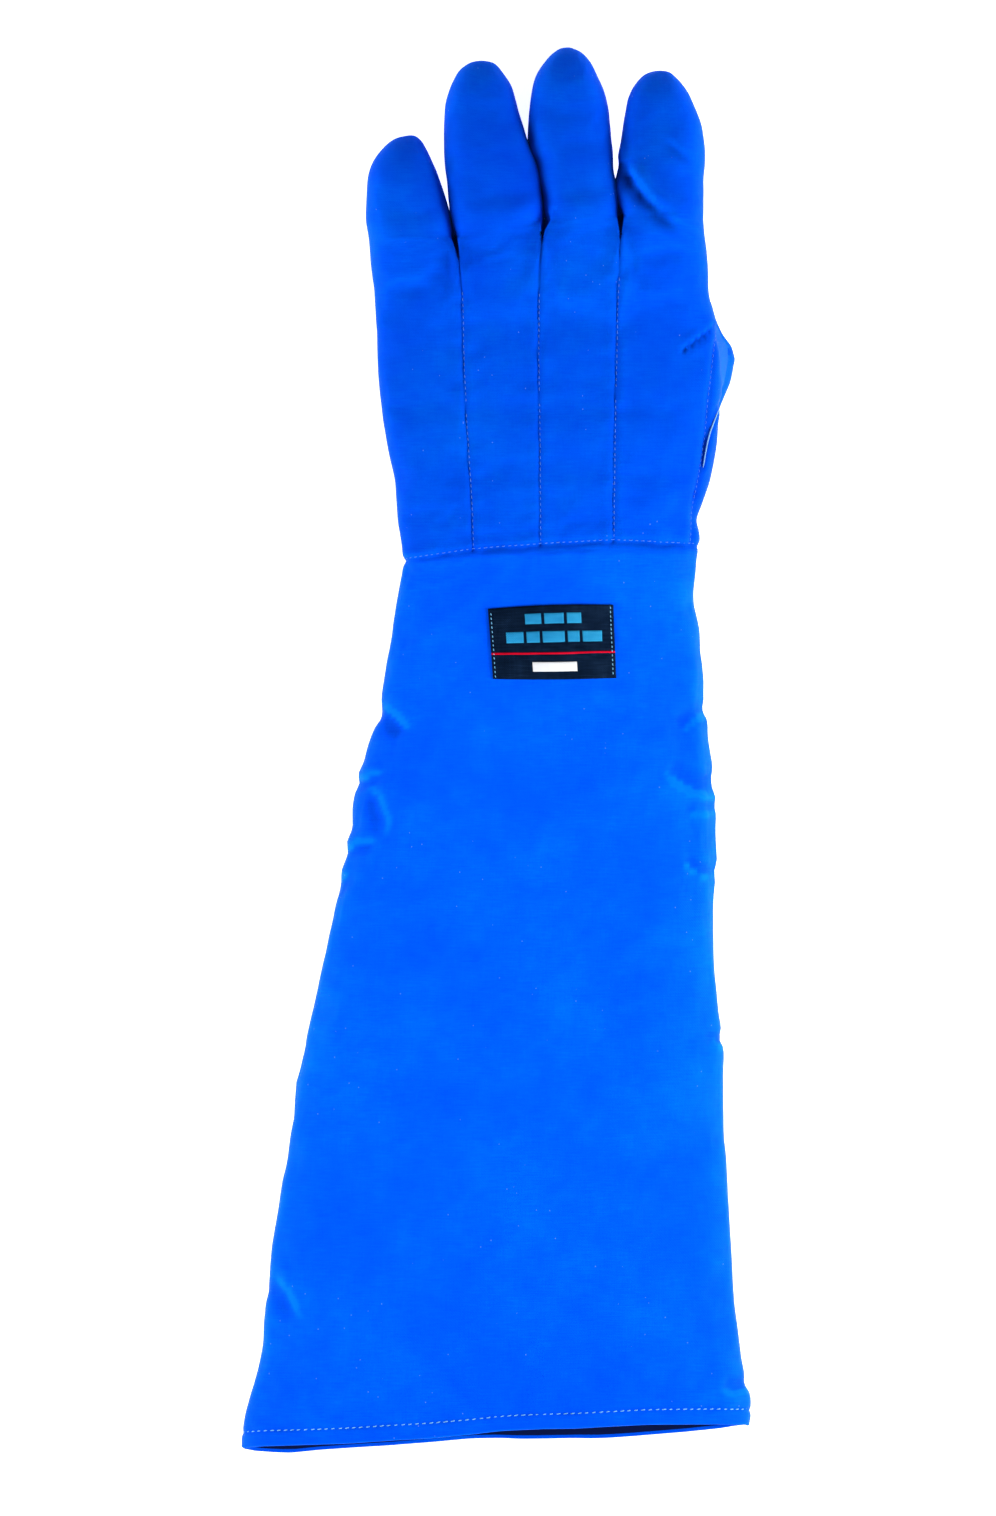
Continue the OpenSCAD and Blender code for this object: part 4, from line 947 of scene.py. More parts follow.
for tag, dep, mat, sl in (("insulation", PAD, WHITE, "padding_white"), ("liner", LIN, NAVY, "liner_navy"), ("barrier", FLM, FILM, "barrier_white")):
    word = {"insulation": "padding", "liner": "lining", "barrier": "membrane"}[tag]
    finish(piece("upper_sleeve_" + word, ring_faces(1 if tag == "liner" else hem_row, r_a), *dep, mat, UVT, co=LINING if tag == "liner" else INNER), sl, ["upper_sleeve_" + tag], bend_elbow)
    finish(piece("forearm_" + word, ring_faces(r_a, r_b), *dep, mat, UVT, co=LINING if tag == "liner" else INNER), sl, ["forearm_" + tag, "hand_" + tag], bend_wrist)
    if tag == "barrier":
        continue
    for k, nm in enumerate(NAMES):
        f = clear_of_crotch(ring_faces(r_b, NR, k * M, (k + 1) * M) + both(k, 0, r_k[k]))
        finish(piece(nm + "_base_" + word, f, *dep, mat, UVT, co=LINING if tag == "liner" else INNER), sl, [nm + "_base_" + tag], bend_base, k)
        finish(piece(nm + "_tip_" + word, both(k, r_k[k], NF), *dep, mat, UVT, co=LINING if tag == "liner" else INNER), sl, [nm + "_tip_" + tag], bend_tip, k)


# ---------------------------------------------------------------- the folded hem at the cuff
def ring_points(r, depth):
    """closed loop of skin points at row r (a float), at a depth under the skin"""
    i, f = int(math.floor(r)), r - math.floor(r)
    loop = []
    for G, cols in ((TI, range(0, NC + 1)), (BI, range(NC - 1, 0, -1))):
        a, b = G[i, list(cols)], G[i + 1, list(cols)]
        p = OUT[a] * (1 - f) + OUT[b] * f
        q = NSM[a] * (1 - f) + NSM[b] * f
        loop.append(p - q * depth)
    return np.concatenate(loop)


def loft(name, rings, mat, scale_u=1.0, close_profile=True):
    """a tube-like mesh from closed loops of equal length, the profile closed on itself"""
    nr, nl = len(rings), len(rings[0])
    pts = np.concatenate(rings) * MM
    faces = []
    for i in range(nr if close_profile else nr - 1):
        for j in range(nl):
            a, b = i * nl + j, i * nl + (j + 1) % nl
            c, d = ((i + 1) % nr) * nl + (j + 1) % nl, ((i + 1) % nr) * nl + j
            faces.append((a, d, c, b))
    mesh = bpy.data.meshes.new(name)
    mesh.from_pydata(pts.tolist(), [], faces)
    mesh.update()
    R = np.array(rings)
    along = np.r_[0, np.cumsum(np.linalg.norm(np.diff(R.mean(0), axis=0), axis=1))]
    prof_ = np.r_[0, np.cumsum(np.linalg.norm(np.diff(R[:, 0], axis=0), axis=1))]
    uvv = np.stack([np.tile(along, nr), np.repeat(prof_, nl)], -1)
    layer = mesh.uv_layers.new(name="cloth")
    vi = np.zeros(len(mesh.loops), int)
    mesh.loops.foreach_get("vertex_index", vi)
    layer.data.foreach_set("uv", uvv[vi].ravel())
    mesh.polygons.foreach_set("use_smooth", [True] * len(mesh.polygons))
    mesh.materials.append(mat)
    o = bpy.data.objects.new(name, mesh)
    bpy.context.scene.collection.objects.link(o)
    return o


row_y = np.array([np.abs(xy[i, NC // 2, 1] - xy[0, NC // 2, 1]) for i in range(30)])
r95 = float(np.interp(7.8, row_y, np.arange(30)))
edge0 = ring_points(0.0, 0.0)
down = np.array([0.0, -1.0, 0.0])
T_HEM = 0.8
prof_hem = []
# the cloth's fold: out over the skin's edge, round, and back along the inside
for ang in np.linspace(90, -90, 7):
    r_out = 1.0
    cen = ring_points(0.0, 1.0)
    nrm_ring = (edge0 - cen) / np.linalg.norm(edge0 - cen, axis=1)[:, None]
    prof_hem.append(cen + nrm_ring * r_out * math.sin(math.radians(ang)) + down * r_out * 0.9 * math.cos(math.radians(ang)))
for r in np.linspace(0.6, r95, 6):
    prof_hem.append(ring_points(r, 2.02 + 0.15 * math.sin(r * 1.3)))
for r in np.linspace(r95, 0.6, 6):
    prof_hem.append(ring_points(r, 1.35 + 0.15 * math.sin(r * 1.3)))
for ang in np.linspace(-90, 90, 7):
    cen = ring_points(0.0, 1.0)
    nrm_ring = (edge0 - cen) / np.linalg.norm(edge0 - cen, axis=1)[:, None]
    prof_hem.append(cen + nrm_ring * 0.6 * math.sin(math.radians(ang)) * 0.6 + down * 0.35 * math.cos(math.radians(ang)))
hem_o = loft("cuff_hem_cloth", prof_hem, BLUE)
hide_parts("cuff_hem")
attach(hem_o, "upper_sleeve")


# ---------------------------------------------------------------- stitches
FACES_ALL = [tuple(f) for f in ALL]
TREE = BVHTree.FromPolygons((OUT * MM).tolist(), FACES_ALL)


def onto(x, y, lift=0.0):
    """the point of the back above (x, y), and the skin's normal there; mm"""
    hit, nrm, _, _ = TREE.ray_cast(Vector((x * MM, y * MM, 0.2)), Vector((0, 0, -1)))
    if hit is None:
        hit, nrm, _, _ = TREE.find_nearest(Vector((x * MM, y * MM, 0.012)))
    return np.array(hit) / MM + np.array(nrm) * lift, np.array(nrm)


def stitches(name, lines, pitch, length, width, lift, mat, slant=0.0, seed=5):
    """A row of short raised threads along each line of surface points [(point, normal)...]; one mesh."""
    rng = np.random.RandomState(seed)
    V, F, UVs = [], [], []
    for line in lines:
        P = np.array([p for p, _ in line])
        Nn = np.array([n for _, n in line])
        for _ in range(4):
            P[1:-1] = (P[:-2] + 2 * P[1:-1] + P[2:]) / 4
            Nn[1:-1] = (Nn[:-2] + 2 * Nn[1:-1] + Nn[2:]) / 4
        L = np.r_[0, np.cumsum(np.linalg.norm(np.diff(P, axis=0), axis=1))]
        s = 0.3 * pitch
        while s + length < L[-1]:
            l = length * (0.9 + 0.2 * rng.rand())
            sl = slant * (0.7 + 0.6 * rng.rand())
            rings = []
            k = 5
            for a in range(k):
                u = a / (k - 1)
                q = s + l * u
                p = np.array([np.interp(q, L, P[:, c]) for c in range(3)])
                nn = np.array([np.interp(q, L, Nn[:, c]) for c in range(3)])
                nn /= np.linalg.norm(nn)
                q2 = min(L[-1], q + 0.4)
                t = np.array([np.interp(q2, L, P[:, c]) for c in range(3)]) - np.array([np.interp(q2 - 0.8, L, P[:, c]) for c in range(3)])
                t /= np.linalg.norm(t)
                b = np.cross(nn, t)
                arch = math.sin(math.pi * u)
                cen = p + nn * (lift * (0.15 + arch) - 0.25 * (1 - arch)) + b * sl * (u - 0.5)
                r = width / 2 * (0.45 + 0.55 * arch ** 0.5)
                ring = [cen + b * r * math.cos(g) + nn * r * 0.75 * math.sin(g) for g in np.linspace(0, 2 * math.pi, 7)[:-1]]
                rings.append(ring)
            base = len(V)
            for ring in rings:
                V += ring
            for a in range(k - 1):
                for g in range(6):
                    x0, x1 = base + a * 6 + g, base + a * 6 + (g + 1) % 6
                    F.append((x0, x1, x1 + 6, x0 + 6))
            F.append(tuple(base + g for g in reversed(range(6))))
            F.append(tuple(base + (k - 1) * 6 + g for g in range(6)))
            s += pitch * (0.96 + 0.08 * rng.rand())
    mesh = bpy.data.meshes.new(name)
    Vn = np.array(V)
    mesh.from_pydata((Vn * MM).tolist(), [], F)
    mesh.update()
    layer = mesh.uv_layers.new(name="cloth")
    vi = np.zeros(len(mesh.loops), int)
    mesh.loops.foreach_get("vertex_index", vi)
    layer.data.foreach_set("uv", (Vn[vi][:, :2]).ravel())
    mesh.polygons.foreach_set("use_smooth", [True] * len(mesh.polygons))
    mesh.materials.append(mat)
    o = bpy.data.objects.new(name, mesh)
    bpy.context.scene.collection.objects.link(o)
    return o


def line_on(points, n=120, dy=0.0):
    c = path(points)(np.linspace(0, 1, n))
    return [onto(x, y + dy) for x, y in c]


def ring_line(r, c0, c1, G=TI, n=None):
    i, f = int(math.floor(r)), r - math.floor(r)
    cols = np.arange(c0, c1 + 1)
    p = OUT[G[i, cols]] * (1 - f) + OUT[G[i + 1, cols]] * f
    q = NOUT[G[i, cols]] * (1 - f) + NOUT[G[i + 1, cols]] * f
    return [(a, b / np.linalg.norm(b)) for a, b in zip(p, q)]


r_st = float(np.interp(6.6, row_y, np.arange(30)))
top_line = ring_line(r_st, 0, NC)
bot_line = ring_line(r_st, 0, NC, BI)[::-1]
o = stitches("hem_thread", [top_line, bot_line], 3.35, 2.3, 0.50, 0.20, THREAD, slant=0.34, seed=3)
finish(o, "thread_pale", ["hem_stitching"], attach, "upper_sleeve")

wl = [(float(x), float(y)) for x, y in zip(hand[0, ::8, 0], hand[0, ::8, 1] + 1.5)]
wline = ring_line(NS + 0.9, 1, NC - 1)
o = stitches("wrist_thread", [wline, ring_line(NS + 0.9, 1, NC - 1, BI)[::-1]], 2.9, 2.0, 0.40, 0.14, THREAD_DIM, slant=0.15, seed=4)
finish(o, "thread_pale", ["wrist_stitching"], bend_wrist)


def seam_line(k, i0, i1, off):
    pts = []
    for i in range(i0, i1):
        x, y = B[k][i]
        pts.append(onto(x + off, y))
    return pts


heel = r_b - NS
near_end = [NH - 17, NH - 21, NH - 18]
o = stitches("back_seam_thread", [seam_line(k, 1, heel, 0.45) for k in (1, 2, 3)], 2.8, 2.05, 0.36, 0.22, THREAD_DIM, slant=0.1, seed=6)
finish(o, "thread_pale", ["back_seam_stitching"], bend_wrist)
o = stitches("back_seam_thread_upper", [seam_line(k, heel, near_end[k - 1], 0.45) for k in (1, 2, 3)], 2.8, 2.05, 0.36, 0.22, THREAD_DIM, slant=0.1, seed=7)
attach(o, "hand")
se = path(SEAM_EDGE)(np.linspace(0, 1, 160))
lower = [onto(x - 0.5, y) for x, y in se if y < 492]
upper = [onto(x - 0.5, y) for x, y in se if y >= 490]
o = stitches("thumb_seam_thread", [lower], 2.6, 1.9, 0.34, 0.20, THREAD_DIM, slant=0.1, seed=8)
bend_wrist(o)
o = stitches("thumb_seam_thread_upper", [upper], 2.6, 1.9, 0.34, 0.20, THREAD_DIM, slant=0.1, seed=9)
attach(o, "hand")


def cord(name, points, radius, mat, lift=0.1, n=90, seg=8, taper=True):
    """a thin round edging laid along a line on the back"""
    c = path(points)(np.linspace(0, 1, n))
    line = [onto(x, y, lift) for x, y in c]
    P = np.array([p for p, _ in line])
    for _ in range(3):
        P[1:-1] = (P[:-2] + 2 * P[1:-1] + P[2:]) / 4
    rings = []
    for i in range(n):
        t = P[min(n - 1, i + 1)] - P[max(0, i - 1)]
        t /= np.linalg.norm(t)
        nn = line[i][1] - t * (line[i][1] @ t)
        nn /= np.linalg.norm(nn)
        b = np.cross(t, nn)
        r = radius * (min(1, (min(i, n - 1 - i) + 0.6) / 7.0) ** 0.5 if taper else 1)
        rings.append([P[i] + b * r * math.cos(g) + nn * r * math.sin(g) for g in np.linspace(0, 2 * math.pi, seg + 1)[:-1]])
    V = [v for r in rings for v in r]
    F = []
    for i in range(n - 1):
        for g in range(seg):
            a, b = i * seg + g, i * seg + (g + 1) % seg
            F.append((a, b, b + seg, a + seg))
    F.append(tuple(reversed(range(seg))))
    F.append(tuple((n - 1) * seg + g for g in range(seg)))
    mesh = bpy.data.meshes.new(name)
    Vn = np.array(V)
    mesh.from_pydata((Vn * MM).tolist(), [], F)
    mesh.update()
    layer = mesh.uv_layers.new(name="cloth")
    vi = np.zeros(len(mesh.loops), int)
    mesh.loops.foreach_get("vertex_index", vi)
    layer.data.foreach_set("uv", Vn[vi][:, :2].ravel())
    mesh.polygons.foreach_set("use_smooth", [True] * len(mesh.polygons))
    mesh.materials.append(mat)
    o = bpy.data.objects.new(name, mesh)
    bpy.context.scene.collection.objects.link(o)
    return o


o = cord("thumb_edging", CORD, 0.34, CORD_M, 0.12)
bend_wrist(o)

# ---------------------------------------------------------------- the label
LC = np.array([(-3.6, 391.4), (55.8, 393.3), (57.2, 358.6), (-1.2, 358.1)])


def label_xy(u, v):
    """u, v in 0..1 from the lower left corner"""
    TL, TR, BR, BL = LC
    p = (BL * (1 - u) + BR * u) * (1 - v) + (TL * (1 - u) + TR * u) * v
    p = p + np.array([0, 0.9 * math.sin(math.pi * u) * (1 if v > 0.5 else -0.55) * abs(2 * v - 1)])
    return p


def patch(name, u0, u1, v0, v1, nu_, nv_, low, high, mat, crown=0.0, wave=0.0, round_edge=0.25):
    """a thin sheet following the back between two heights, with softened edges"""
    pts_t, pts_b, uvs = [], [], []
    for j in range(nv_ + 1):
        for i in range(nu_ + 1):
            u, v = u0 + (u1 - u0) * i / nu_, v0 + (v1 - v0) * j / nv_
            x, y = label_xy(u, v)
            p, nn = LAB(u, v)
            e = min(i, nu_ - i, j, nv_ - j)
            soft_ = round_edge if e == 0 else 0.0
            hgt = high - soft_ + crown * math.sin(math.pi * i / nu_) + wave * (math.sin(9 * u + 4 * v) * 0.5 + math.sin(23 * u * v + 3) * 0.5)
            pts_t.append(p + nn * hgt)
            pts_b.append(p + nn * low)
            uvs.append((x, y))
    n = len(pts_t)
    W = nu_ + 1
    F = []
    for j in range(nv_):
        for i in range(nu_):
            a = j * W + i
            F.append((a, a + 1, a + W + 1, a + W))
            F.append((n + a, n + a + W, n + a + W + 1, n + a + 1))
    border = [j for j in range(nu_)] + [nu_ + W * j for j in range(nv_)] + [nv_ * W + nu_ - j for j in range(nu_)] + [W * (nv_ - j) for j in range(nv_)]
    for a, b in zip(border, border[1:] + border[:1]):
        F.append((b, a, n + a, n + b))
    mesh = bpy.data.meshes.new(name)
    mesh.from_pydata((np.array(pts_t + pts_b) * MM).tolist(), [], F)
    mesh.update()
    layer = mesh.uv_layers.new(name="cloth")
    vi = np.zeros(len(mesh.loops), int)
    mesh.loops.foreach_get("vertex_index", vi)
    layer.data.foreach_set("uv", np.array(uvs + uvs)[vi].ravel())
    mesh.polygons.foreach_set("use_smooth", [True] * len(mesh.polygons))
    mesh.materials.append(mat)
    mod = None
    o = bpy.data.objects.new(name, mesh)
    bpy.context.scene.collection.objects.link(o)
    return o


# a smoothed copy of the back under the label, so the label bridges the cloth's small dents
NLU, NLV = 60, 36
lab_p = np.zeros((NLV + 1, NLU + 1, 3))
for j in range(NLV + 1):
    for i in range(NLU + 1):
        lab_p[j, i] = onto(*label_xy(i / NLU, j / NLV))[0]
for _ in range(5):
    z = lab_p[..., 2]
    z[1:-1, 1:-1] = np.maximum(z[1:-1, 1:-1], (z[:-2, 1:-1] + z[2:, 1:-1] + z[1:-1, :-2] + z[1:-1, 2:]) / 4)


def LAB(u, v):
    a, b = min(NLU - 1e-6, max(0, u * NLU)), min(NLV - 1e-6, max(0, v * NLV))
    i, j, f, g = int(a), int(b), a - int(a), b - int(b)
    q = lab_p[j:j + 2, i:i + 2]
    p = (q[0, 0] * (1 - f) + q[0, 1] * f) * (1 - g) + (q[1, 0] * (1 - f) + q[1, 1] * f) * g
    du, dv = q[0, 1] - q[0, 0], q[1, 0] - q[0, 0]
    nn = np.cross(du, dv)
    return p, nn / np.linalg.norm(nn)


lab = patch("label_cloth", 0, 1, 0, 1, 60, 36, 0.10, 0.95, BLACK, wave=0.10)
finish(lab, "label_black", ["label"], bend_wrist)
bars = []
# plain woven bars: two rows of blue blocks, one pale block under a red line
for row, (v0, v1), spans in (("upper", (0.755, 0.895), [(0.29, 0.42), (0.445, 0.60), (0.625, 0.74)]),
                             ("middle", (0.505, 0.655), [(0.13, 0.27), (0.295, 0.40), (0.425, 0.60), (0.625, 0.72), (0.745, 0.90)])):
    for i, (u0, u1) in enumerate(spans):
        bars.append((patch("label_bar_%s_%d" % (row, i), u0, u1, v0, v1, 10, 6, 0.85, 1.22, CYAN, round_edge=0.12), "thread_pale"))
bars.append((patch("label_line", 0.005, 0.995, 0.345, 0.372, 60, 2, 0.85, 1.20, RED, round_edge=0.1), "label_black"))
bars.append((patch("label_bar_lower", 0.33, 0.69, 0.11, 0.24, 24, 6, 0.85, 1.24, PALE, round_edge=0.12), "thread_pale"))
for b, s_ in bars:
    bend_wrist(b)


def lab_line(u, v0, v1, n=50):
    return [(LAB(u, v0 + (v1 - v0) * i / n)[0] + LAB(u, v0 + (v1 - v0) * i / n)[1] * 0.95, LAB(u, v0 + (v1 - v0) * i / n)[1]) for i in range(n + 1)]


o = stitches("label_thread", [lab_line(0.022, 0.0, 1.0), lab_line(0.975, 1.0, 0.0)], 2.1, 1.45, 0.42, 0.16, THREAD, slant=0.2, seed=12)
finish(o, "thread_pale", ["label_stitching"], bend_wrist)

# ---------------------------------------------------------------- the thumb, folded under the palm
AX0, AY0, AZ0 = 99.5, 478.0, 8.8 - TABLE
TAX = math.tan(math.radians(10))
MT, NB = 40, 12


def spindle(y):
    return smooth([433, 436, 441, 449, 468, 478, 487, 494, 500, 507, 511.5, 515, 518, 520.5, 523],
                  [0.0, 3.4, 4.9, 5.9, 6.1, 5.6, 5.2, 6.7, 8.1, 8.4, 8.4, 7.2, 5.0, 2.6, 0.0], y)


gt = np.arange(MT + 1) / MT
gcol = 0.25 * gt + 0.75 * 0.5 * (1 - np.cos(np.pi * gt))
ST = np.array([[99.6, 478.8, 80, 45.8, 1.0], [93.5, 482, 76, 38.5, 8.0], [87.5, 487.5, 65, 30.5, 9.0], [77.5, 500, 48, 25.0, 9.2],
               [66.5, 516, 37, 21.8, 9.2], [58.6, 528, 33, 18.6, 8.9]])
NT = 46
rows_t, rows_b = [], []
y0, y1 = 433.0, 523.0
ly = y0 + (y1 - y0) * gcol
lx = AX0 + (ly - AY0) * TAX
Rsp = np.maximum(0, spindle(ly))
for i in range(NB + 1):
    phi = math.radians(90 * i / NB)
    X = lx + Rsp * math.cos(phi)
    rows_t.append(np.stack([X, ly, AZ0 + Rsp * math.sin(phi)], -1))
    rows_b.append(np.stack([X, ly, AZ0 - Rsp * math.sin(phi)], -1))
w = np.linspace(0, 1, NT + 1)[1:]
idx = np.linspace(0, 1, len(ST))
cx, cy = smooth(idx, ST[:, 0], w), smooth(idx, ST[:, 1], w)
hd, hw = smooth(idx, ST[:, 2], w), smooth(idx, ST[:, 3], w)
thk = smooth([0, 0.12, 0.3, 0.6, 1], [6.5, 7.6, 8.7, 9.0, 8.7], w)
pr = prof(2 * gcol - 1, 2.4)
for i in range(NT):
    dx, dy = math.cos(math.radians(hd[i])), math.sin(math.radians(hd[i]))
    X = cx[i] + (2 * gcol - 1) * hw[i] * dx
    Yc = cy[i] + (2 * gcol - 1) * hw[i] * dy
    mixw = step(w[i] / 0.16)
    X = lx * (1 - mixw) + X * mixw
    Yc = ly * (1 - mixw) + Yc * mixw
    ht = Rsp * (1 - mixw) + thk[i] * pr * mixw
    zc_ = AZ0 * (1 - mixw) + (9.3 - TABLE) * mixw
    rows_t.append(np.stack([X, Yc, zc_ + ht], -1))
    rows_b.append(np.stack([X, Yc, zc_ - ht], -1))
tipx, tipy = 48.0, 544.6
NTC = 14
c5 = np.array([cx[-1], cy[-1]])
tv = np.array([tipx, tipy]) - c5
for i in range(1, NTC + 1):
    th_ = math.pi / 2 * i / NTC
    wd_ = hw[-1] * math.cos(th_) ** 0.82
    c = c5 + tv * math.sin(th_)
    dx, dy = math.cos(math.radians(hd[-1])), math.sin(math.radians(hd[-1]))
    X, Yc = c[0] + (2 * gcol - 1) * wd_ * dx, c[1] + (2 * gcol - 1) * wd_ * dy
    ht = thk[-1] * math.cos(th_) ** 0.75 * pr
    rows_t.append(np.stack([X, Yc, np.full(MT + 1, 9.3 - TABLE) + ht], -1))
    rows_b.append(np.stack([X, Yc, np.full(MT + 1, 9.3 - TABLE) - ht], -1))
TT, TB = np.array(rows_t), np.array(rows_b)
NRT = len(TT) - 1
Ti = np.zeros((NRT + 1, MT + 1), int)
Bi = np.zeros((NRT + 1, MT + 1), int)
pts, n = [], 0
# the outermost line, both ends of the base line, the side edges and the tip are shared by the two sheets
Ti[0] = np.arange(MT + 1)
pts.append(TT[0])
n = MT + 1
for i in range(1, NRT):
    if i <= NB:
        Ti[i, 1:MT] = np.arange(MT - 1) + n
        Ti[i, 0], Ti[i, MT] = Ti[0, 0], Ti[0, MT]
        pts.append(TT[i, 1:MT])
        n += MT - 1
    else:
        Ti[i] = np.arange(MT + 1) + n
        pts.append(TT[i])
        n += MT + 1
Ti[NRT] = n
pts.append(TT[NRT, MT // 2][None])
n += 1
Bi[0], Bi[NRT] = Ti[0], Ti[NRT]
for i in range(1, NRT):
    Bi[i, 1:MT] = np.arange(MT - 1) + n
    Bi[i, 0], Bi[i, MT] = Ti[i, 0], Ti[i, MT]
    pts.append(TB[i, 1:MT])
    n += MT - 1
TCO = np.concatenate(pts)


def clean2(f):
    out = []
    for q in f.tolist():
        r = []
        for v in q:
            if v not in r:
                r.append(v)
        if len(r) >= 3:
            out.append(tuple(r))
    return out


TF_t = clean2(grid_faces(Ti, False))
TF_b = clean2(grid_faces(Bi, True))
vol = 0.0
for f in TF_t + TF_b:
    a, b, c = TCO[f[0]], TCO[f[1]], TCO[f[2]]
    vol += np.dot(a, np.cross(b, c))
    if len(f) == 4:
        vol += np.dot(a, np.cross(c, TCO[f[3]]))
if vol < 0:
    TF_t = [tuple(reversed(f)) for f in TF_t]
    TF_b = [tuple(reversed(f)) for f in TF_b]
TSM = normals(TCO, TF_t + TF_b)
tx, ty = TCO[:, 0], TCO[:, 1]
_, sm_ = soft(tx + 90, ty + 40)
td = 0.7 * noise(tx / 24 + 2, ty / 26 + 5, 51) + 0.8 * sm_
td += -1.0 * np.exp(-(near(tx, ty, [(97, 508), (84, 500), (72, 489), (66, 476)])[0] / 2.6) ** 2)
td += -0.8 * np.exp(-(near(tx, ty, [(88, 519), (74, 508), (62, 497)])[0] / 2.2) ** 2)
td += -0.7 * np.exp(-(near(tx, ty, [(100, 455), (88, 462), (78, 470)])[0] / 2.4) ** 2)
fade = np.clip(np.hypot((tx - (AX0 + (ty - AY0) * TAX)), 0) / 14, 0, 1)
td *= step(fade)
TOUT = TCO + TSM * td[:, None]
TOUT[:, 2] = np.clip(TOUT[:, 2], -TABLE + 0.1, None)
over_palm = tx < 97
TOUT[:, 2] = np.where(over_palm, np.minimum(TOUT[:, 2], -4.55), TOUT[:, 2])
TNO = normals(TOUT, TF_t + TF_b)
TUV = np.stack([TOUT[:, 1], TOUT[:, 0] + TOUT[:, 2]], -1)


def ride_thumb(o):
    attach(o, "thumb")


kw = dict(co=TOUT, nrm=TSM, outn=TNO)
finish(piece("thumb_palm_cloth", TF_t, 0.0, 0.75, BLUE_P, TUV, **kw), "panel_blue", ["thumb_palm_panel"], ride_thumb)
finish(piece("thumb_back_cloth", TF_b, 0.0, 0.75, BLUE, TUV, **kw), "shell_blue", ["thumb_back_panel"], ride_thumb)
# inside the thumb: padding and lining, from the part of the tube that is thick enough to hold them
lay = clean2(grid_faces(Ti, vol < 0, NB + 8, NRT - 4, 0, None, 2, 2)) + clean2(grid_faces(Bi, vol >= 0, NB + 8, NRT - 4, 0, None, 2, 2))
finish(piece("thumb_padding", lay, 1.3, 4.0, WHITE, TUV, **kw), "padding_white", ["thumb_insulation"], ride_thumb)
finish(piece("thumb_lining", lay, 4.2, 4.9, NAVY, TUV, **kw), "liner_navy", ["thumb_liner"], ride_thumb)

# the cloth at the side of the hand that reaches down over the thumb's fold, set in with its own seam
NG, NY = 16, 84
gy = np.linspace(437.0, 538.5, NY + 1)
edge_ids = TI[NS:, NC]
ex, ey, ez = OUT[edge_ids, 0], OUT[edge_ids, 1], OUT[edge_ids, 2]
GP = np.zeros((NY + 1, NG + 1, 3))
for j, yy in enumerate(gy):
    hx, hz = float(np.interp(yy, ey, ex)), float(np.interp(yy, ey, ez))
    top_p = np.array([hx - 0.9, yy, hz - 0.6])
    wb = float(step((yy - 509) / 9))                      # from the thumb's fold to the cloth above it
    ax = AX0 + (yy - AY0) * TAX
    reach = float(smooth([505, 511.3, 516.8, 520.3, 525.1, 531, 536.8, 539], [113.4, 114.2, 112.3, 109.6, 106.5, 104.2, 102.3, 101.4], yy))
    R = (float(spindle(yy)) + 0.5) * (1 - wb) + float(np.interp(yy, [509, 518, 526, 539], [8.5, 4.5, 2.2, 0.8])) * wb
    R = max(R, 0.4)
    gcx = ax * (1 - wb) + (reach - R) * wb
    gcz = AZ0 * (1 - wb) + (AZ0 + (hz - 1.5 - AZ0) * float(step((yy - 514) / 24))) * wb
    a0 = math.radians(50)
    for i in range(NG + 1):
        t = i / NG
        if t < 0.5:
            q = t / 0.5
            tgt = np.array([gcx + R * math.cos(a0), yy, gcz + R * math.sin(a0)])
            p = top_p * (1 - q) + tgt * q
            p[0] += 0.5 * math.sin(math.pi * q) * (1 - wb)
        else:
            q = (t - 0.5) / 0.5
            a = a0 - math.radians(100) * q * max(0.1, float(step((yy - 436.5) / 14)))      # it tapers off at the wrist end
            p = np.array([gcx + R * math.cos(a), yy, gcz + R * math.sin(a)])
        GP[j, i] = top_p + (p - top_p) * max(0.12, float(step((yy - 433.0) / 17)))
GP[..., 0] += 0.16 * noise(GP[..., 1] / 7, GP[..., 2] / 9 + 3, 61)
gi = np.arange((NY + 1) * (NG + 1)).reshape(NY + 1, NG + 1)
GCO = GP.reshape(-1, 3)
GF = clean2(grid_faces(gi, False))
GN = normals(GCO, GF)
if GN[:, 0].mean() < 0:
    GF = [tuple(reversed(f)) for f in GF]
    GN = -GN
GUV = np.stack([GCO[:, 2], GCO[:, 1]], -1)
o = piece("thumb_gusset_cloth", GF, 0.0, 0.5, BLUE, GUV, co=GCO, nrm=GN, outn=GN)
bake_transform(o)      # its lower half is sewn to the thumb

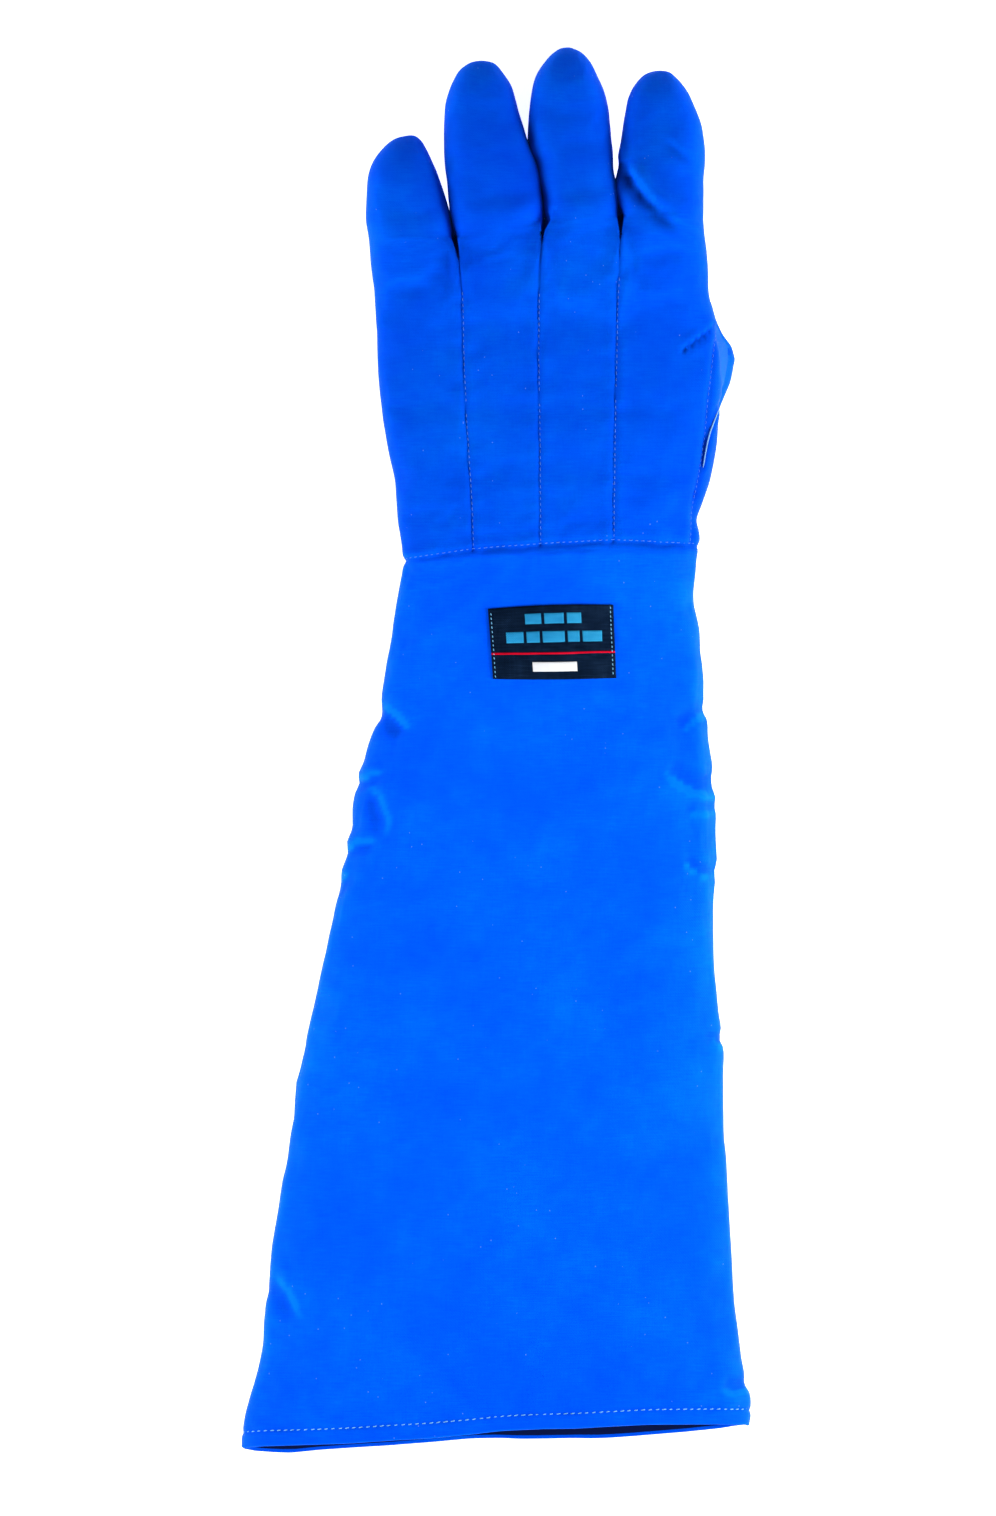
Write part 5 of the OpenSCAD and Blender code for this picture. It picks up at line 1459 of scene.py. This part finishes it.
# ---------------------------------------------------------------- stage
mesh = bpy.data.meshes.new("floor")
mesh.from_pydata([(-6, -6, -TABLE * MM - 0.0004), (6, -6, -TABLE * MM - 0.0004), (6, 6, -TABLE * MM - 0.0004), (-6, 6, -TABLE * MM - 0.0004)], [], [(0, 1, 2, 3)])
floor = bpy.data.objects.new("floor", mesh)
bpy.context.scene.collection.objects.link(floor)
fm = bpy.data.materials.new("studio_white")
fm.use_nodes = True
pb = fm.node_tree.nodes["Principled BSDF"]
pb.inputs["Base Color"].default_value = (0.93, 0.93, 0.93, 1)
pb.inputs["Roughness"].default_value = 0.9
pb.inputs["Emission Color"].default_value = (1, 1, 1, 1)
pb.inputs["Emission Strength"].default_value = 0.80
pb.inputs["Specular IOR Level"].default_value = 0.0
mesh.materials.append(fm)

world = bpy.data.worlds.new("studio")
bpy.context.scene.world = world
world.use_nodes = True
bg = world.node_tree.nodes["Background"]
bg.inputs[0].default_value = (1, 1, 1, 1)
bg.inputs[1].default_value = 0.32


def area(name, loc, target, size, power):
    light = bpy.data.lights.new(name, "AREA")
    light.shape = "RECTANGLE"
    light.size, light.size_y = size
    light.energy = power
    ob = bpy.data.objects.new(name, light)
    ob.location = loc
    ob.rotation_euler = (Vector(target) - Vector(loc)).to_track_quat("-Z", "Y").to_euler()
    bpy.context.scene.collection.objects.link(ob)
    return ob


area("key", (0.95, 0.06, 0.44), (0, 0.22, 0), (0.7, 0.5), 17.6)
area("fill", (-0.95, 0.02, 0.48), (0, 0.20, 0), (0.8, 0.5), 13.8)

cam_data = bpy.data.cameras.new("camera")
cam = bpy.data.objects.new("camera", cam_data)
bpy.context.scene.collection.objects.link(cam)
CX, CY, CH, FH = 1.19, 320.6, 9.0, 720.1
cam.location = (CX * MM, CY * MM, CH)
cam.rotation_euler = (0, 0, 0)
cam_data.sensor_fit = "VERTICAL"
cam_data.sensor_height = 24
cam_data.lens = 24 * (CH - 0.012) / (FH * MM)
cam_data.clip_end = 50
bpy.context.scene.camera = cam
bpy.context.scene.view_settings.view_transform = "Standard"
bpy.context.scene.view_settings.look = "None"
bpy.context.scene.view_settings.exposure = 0.0
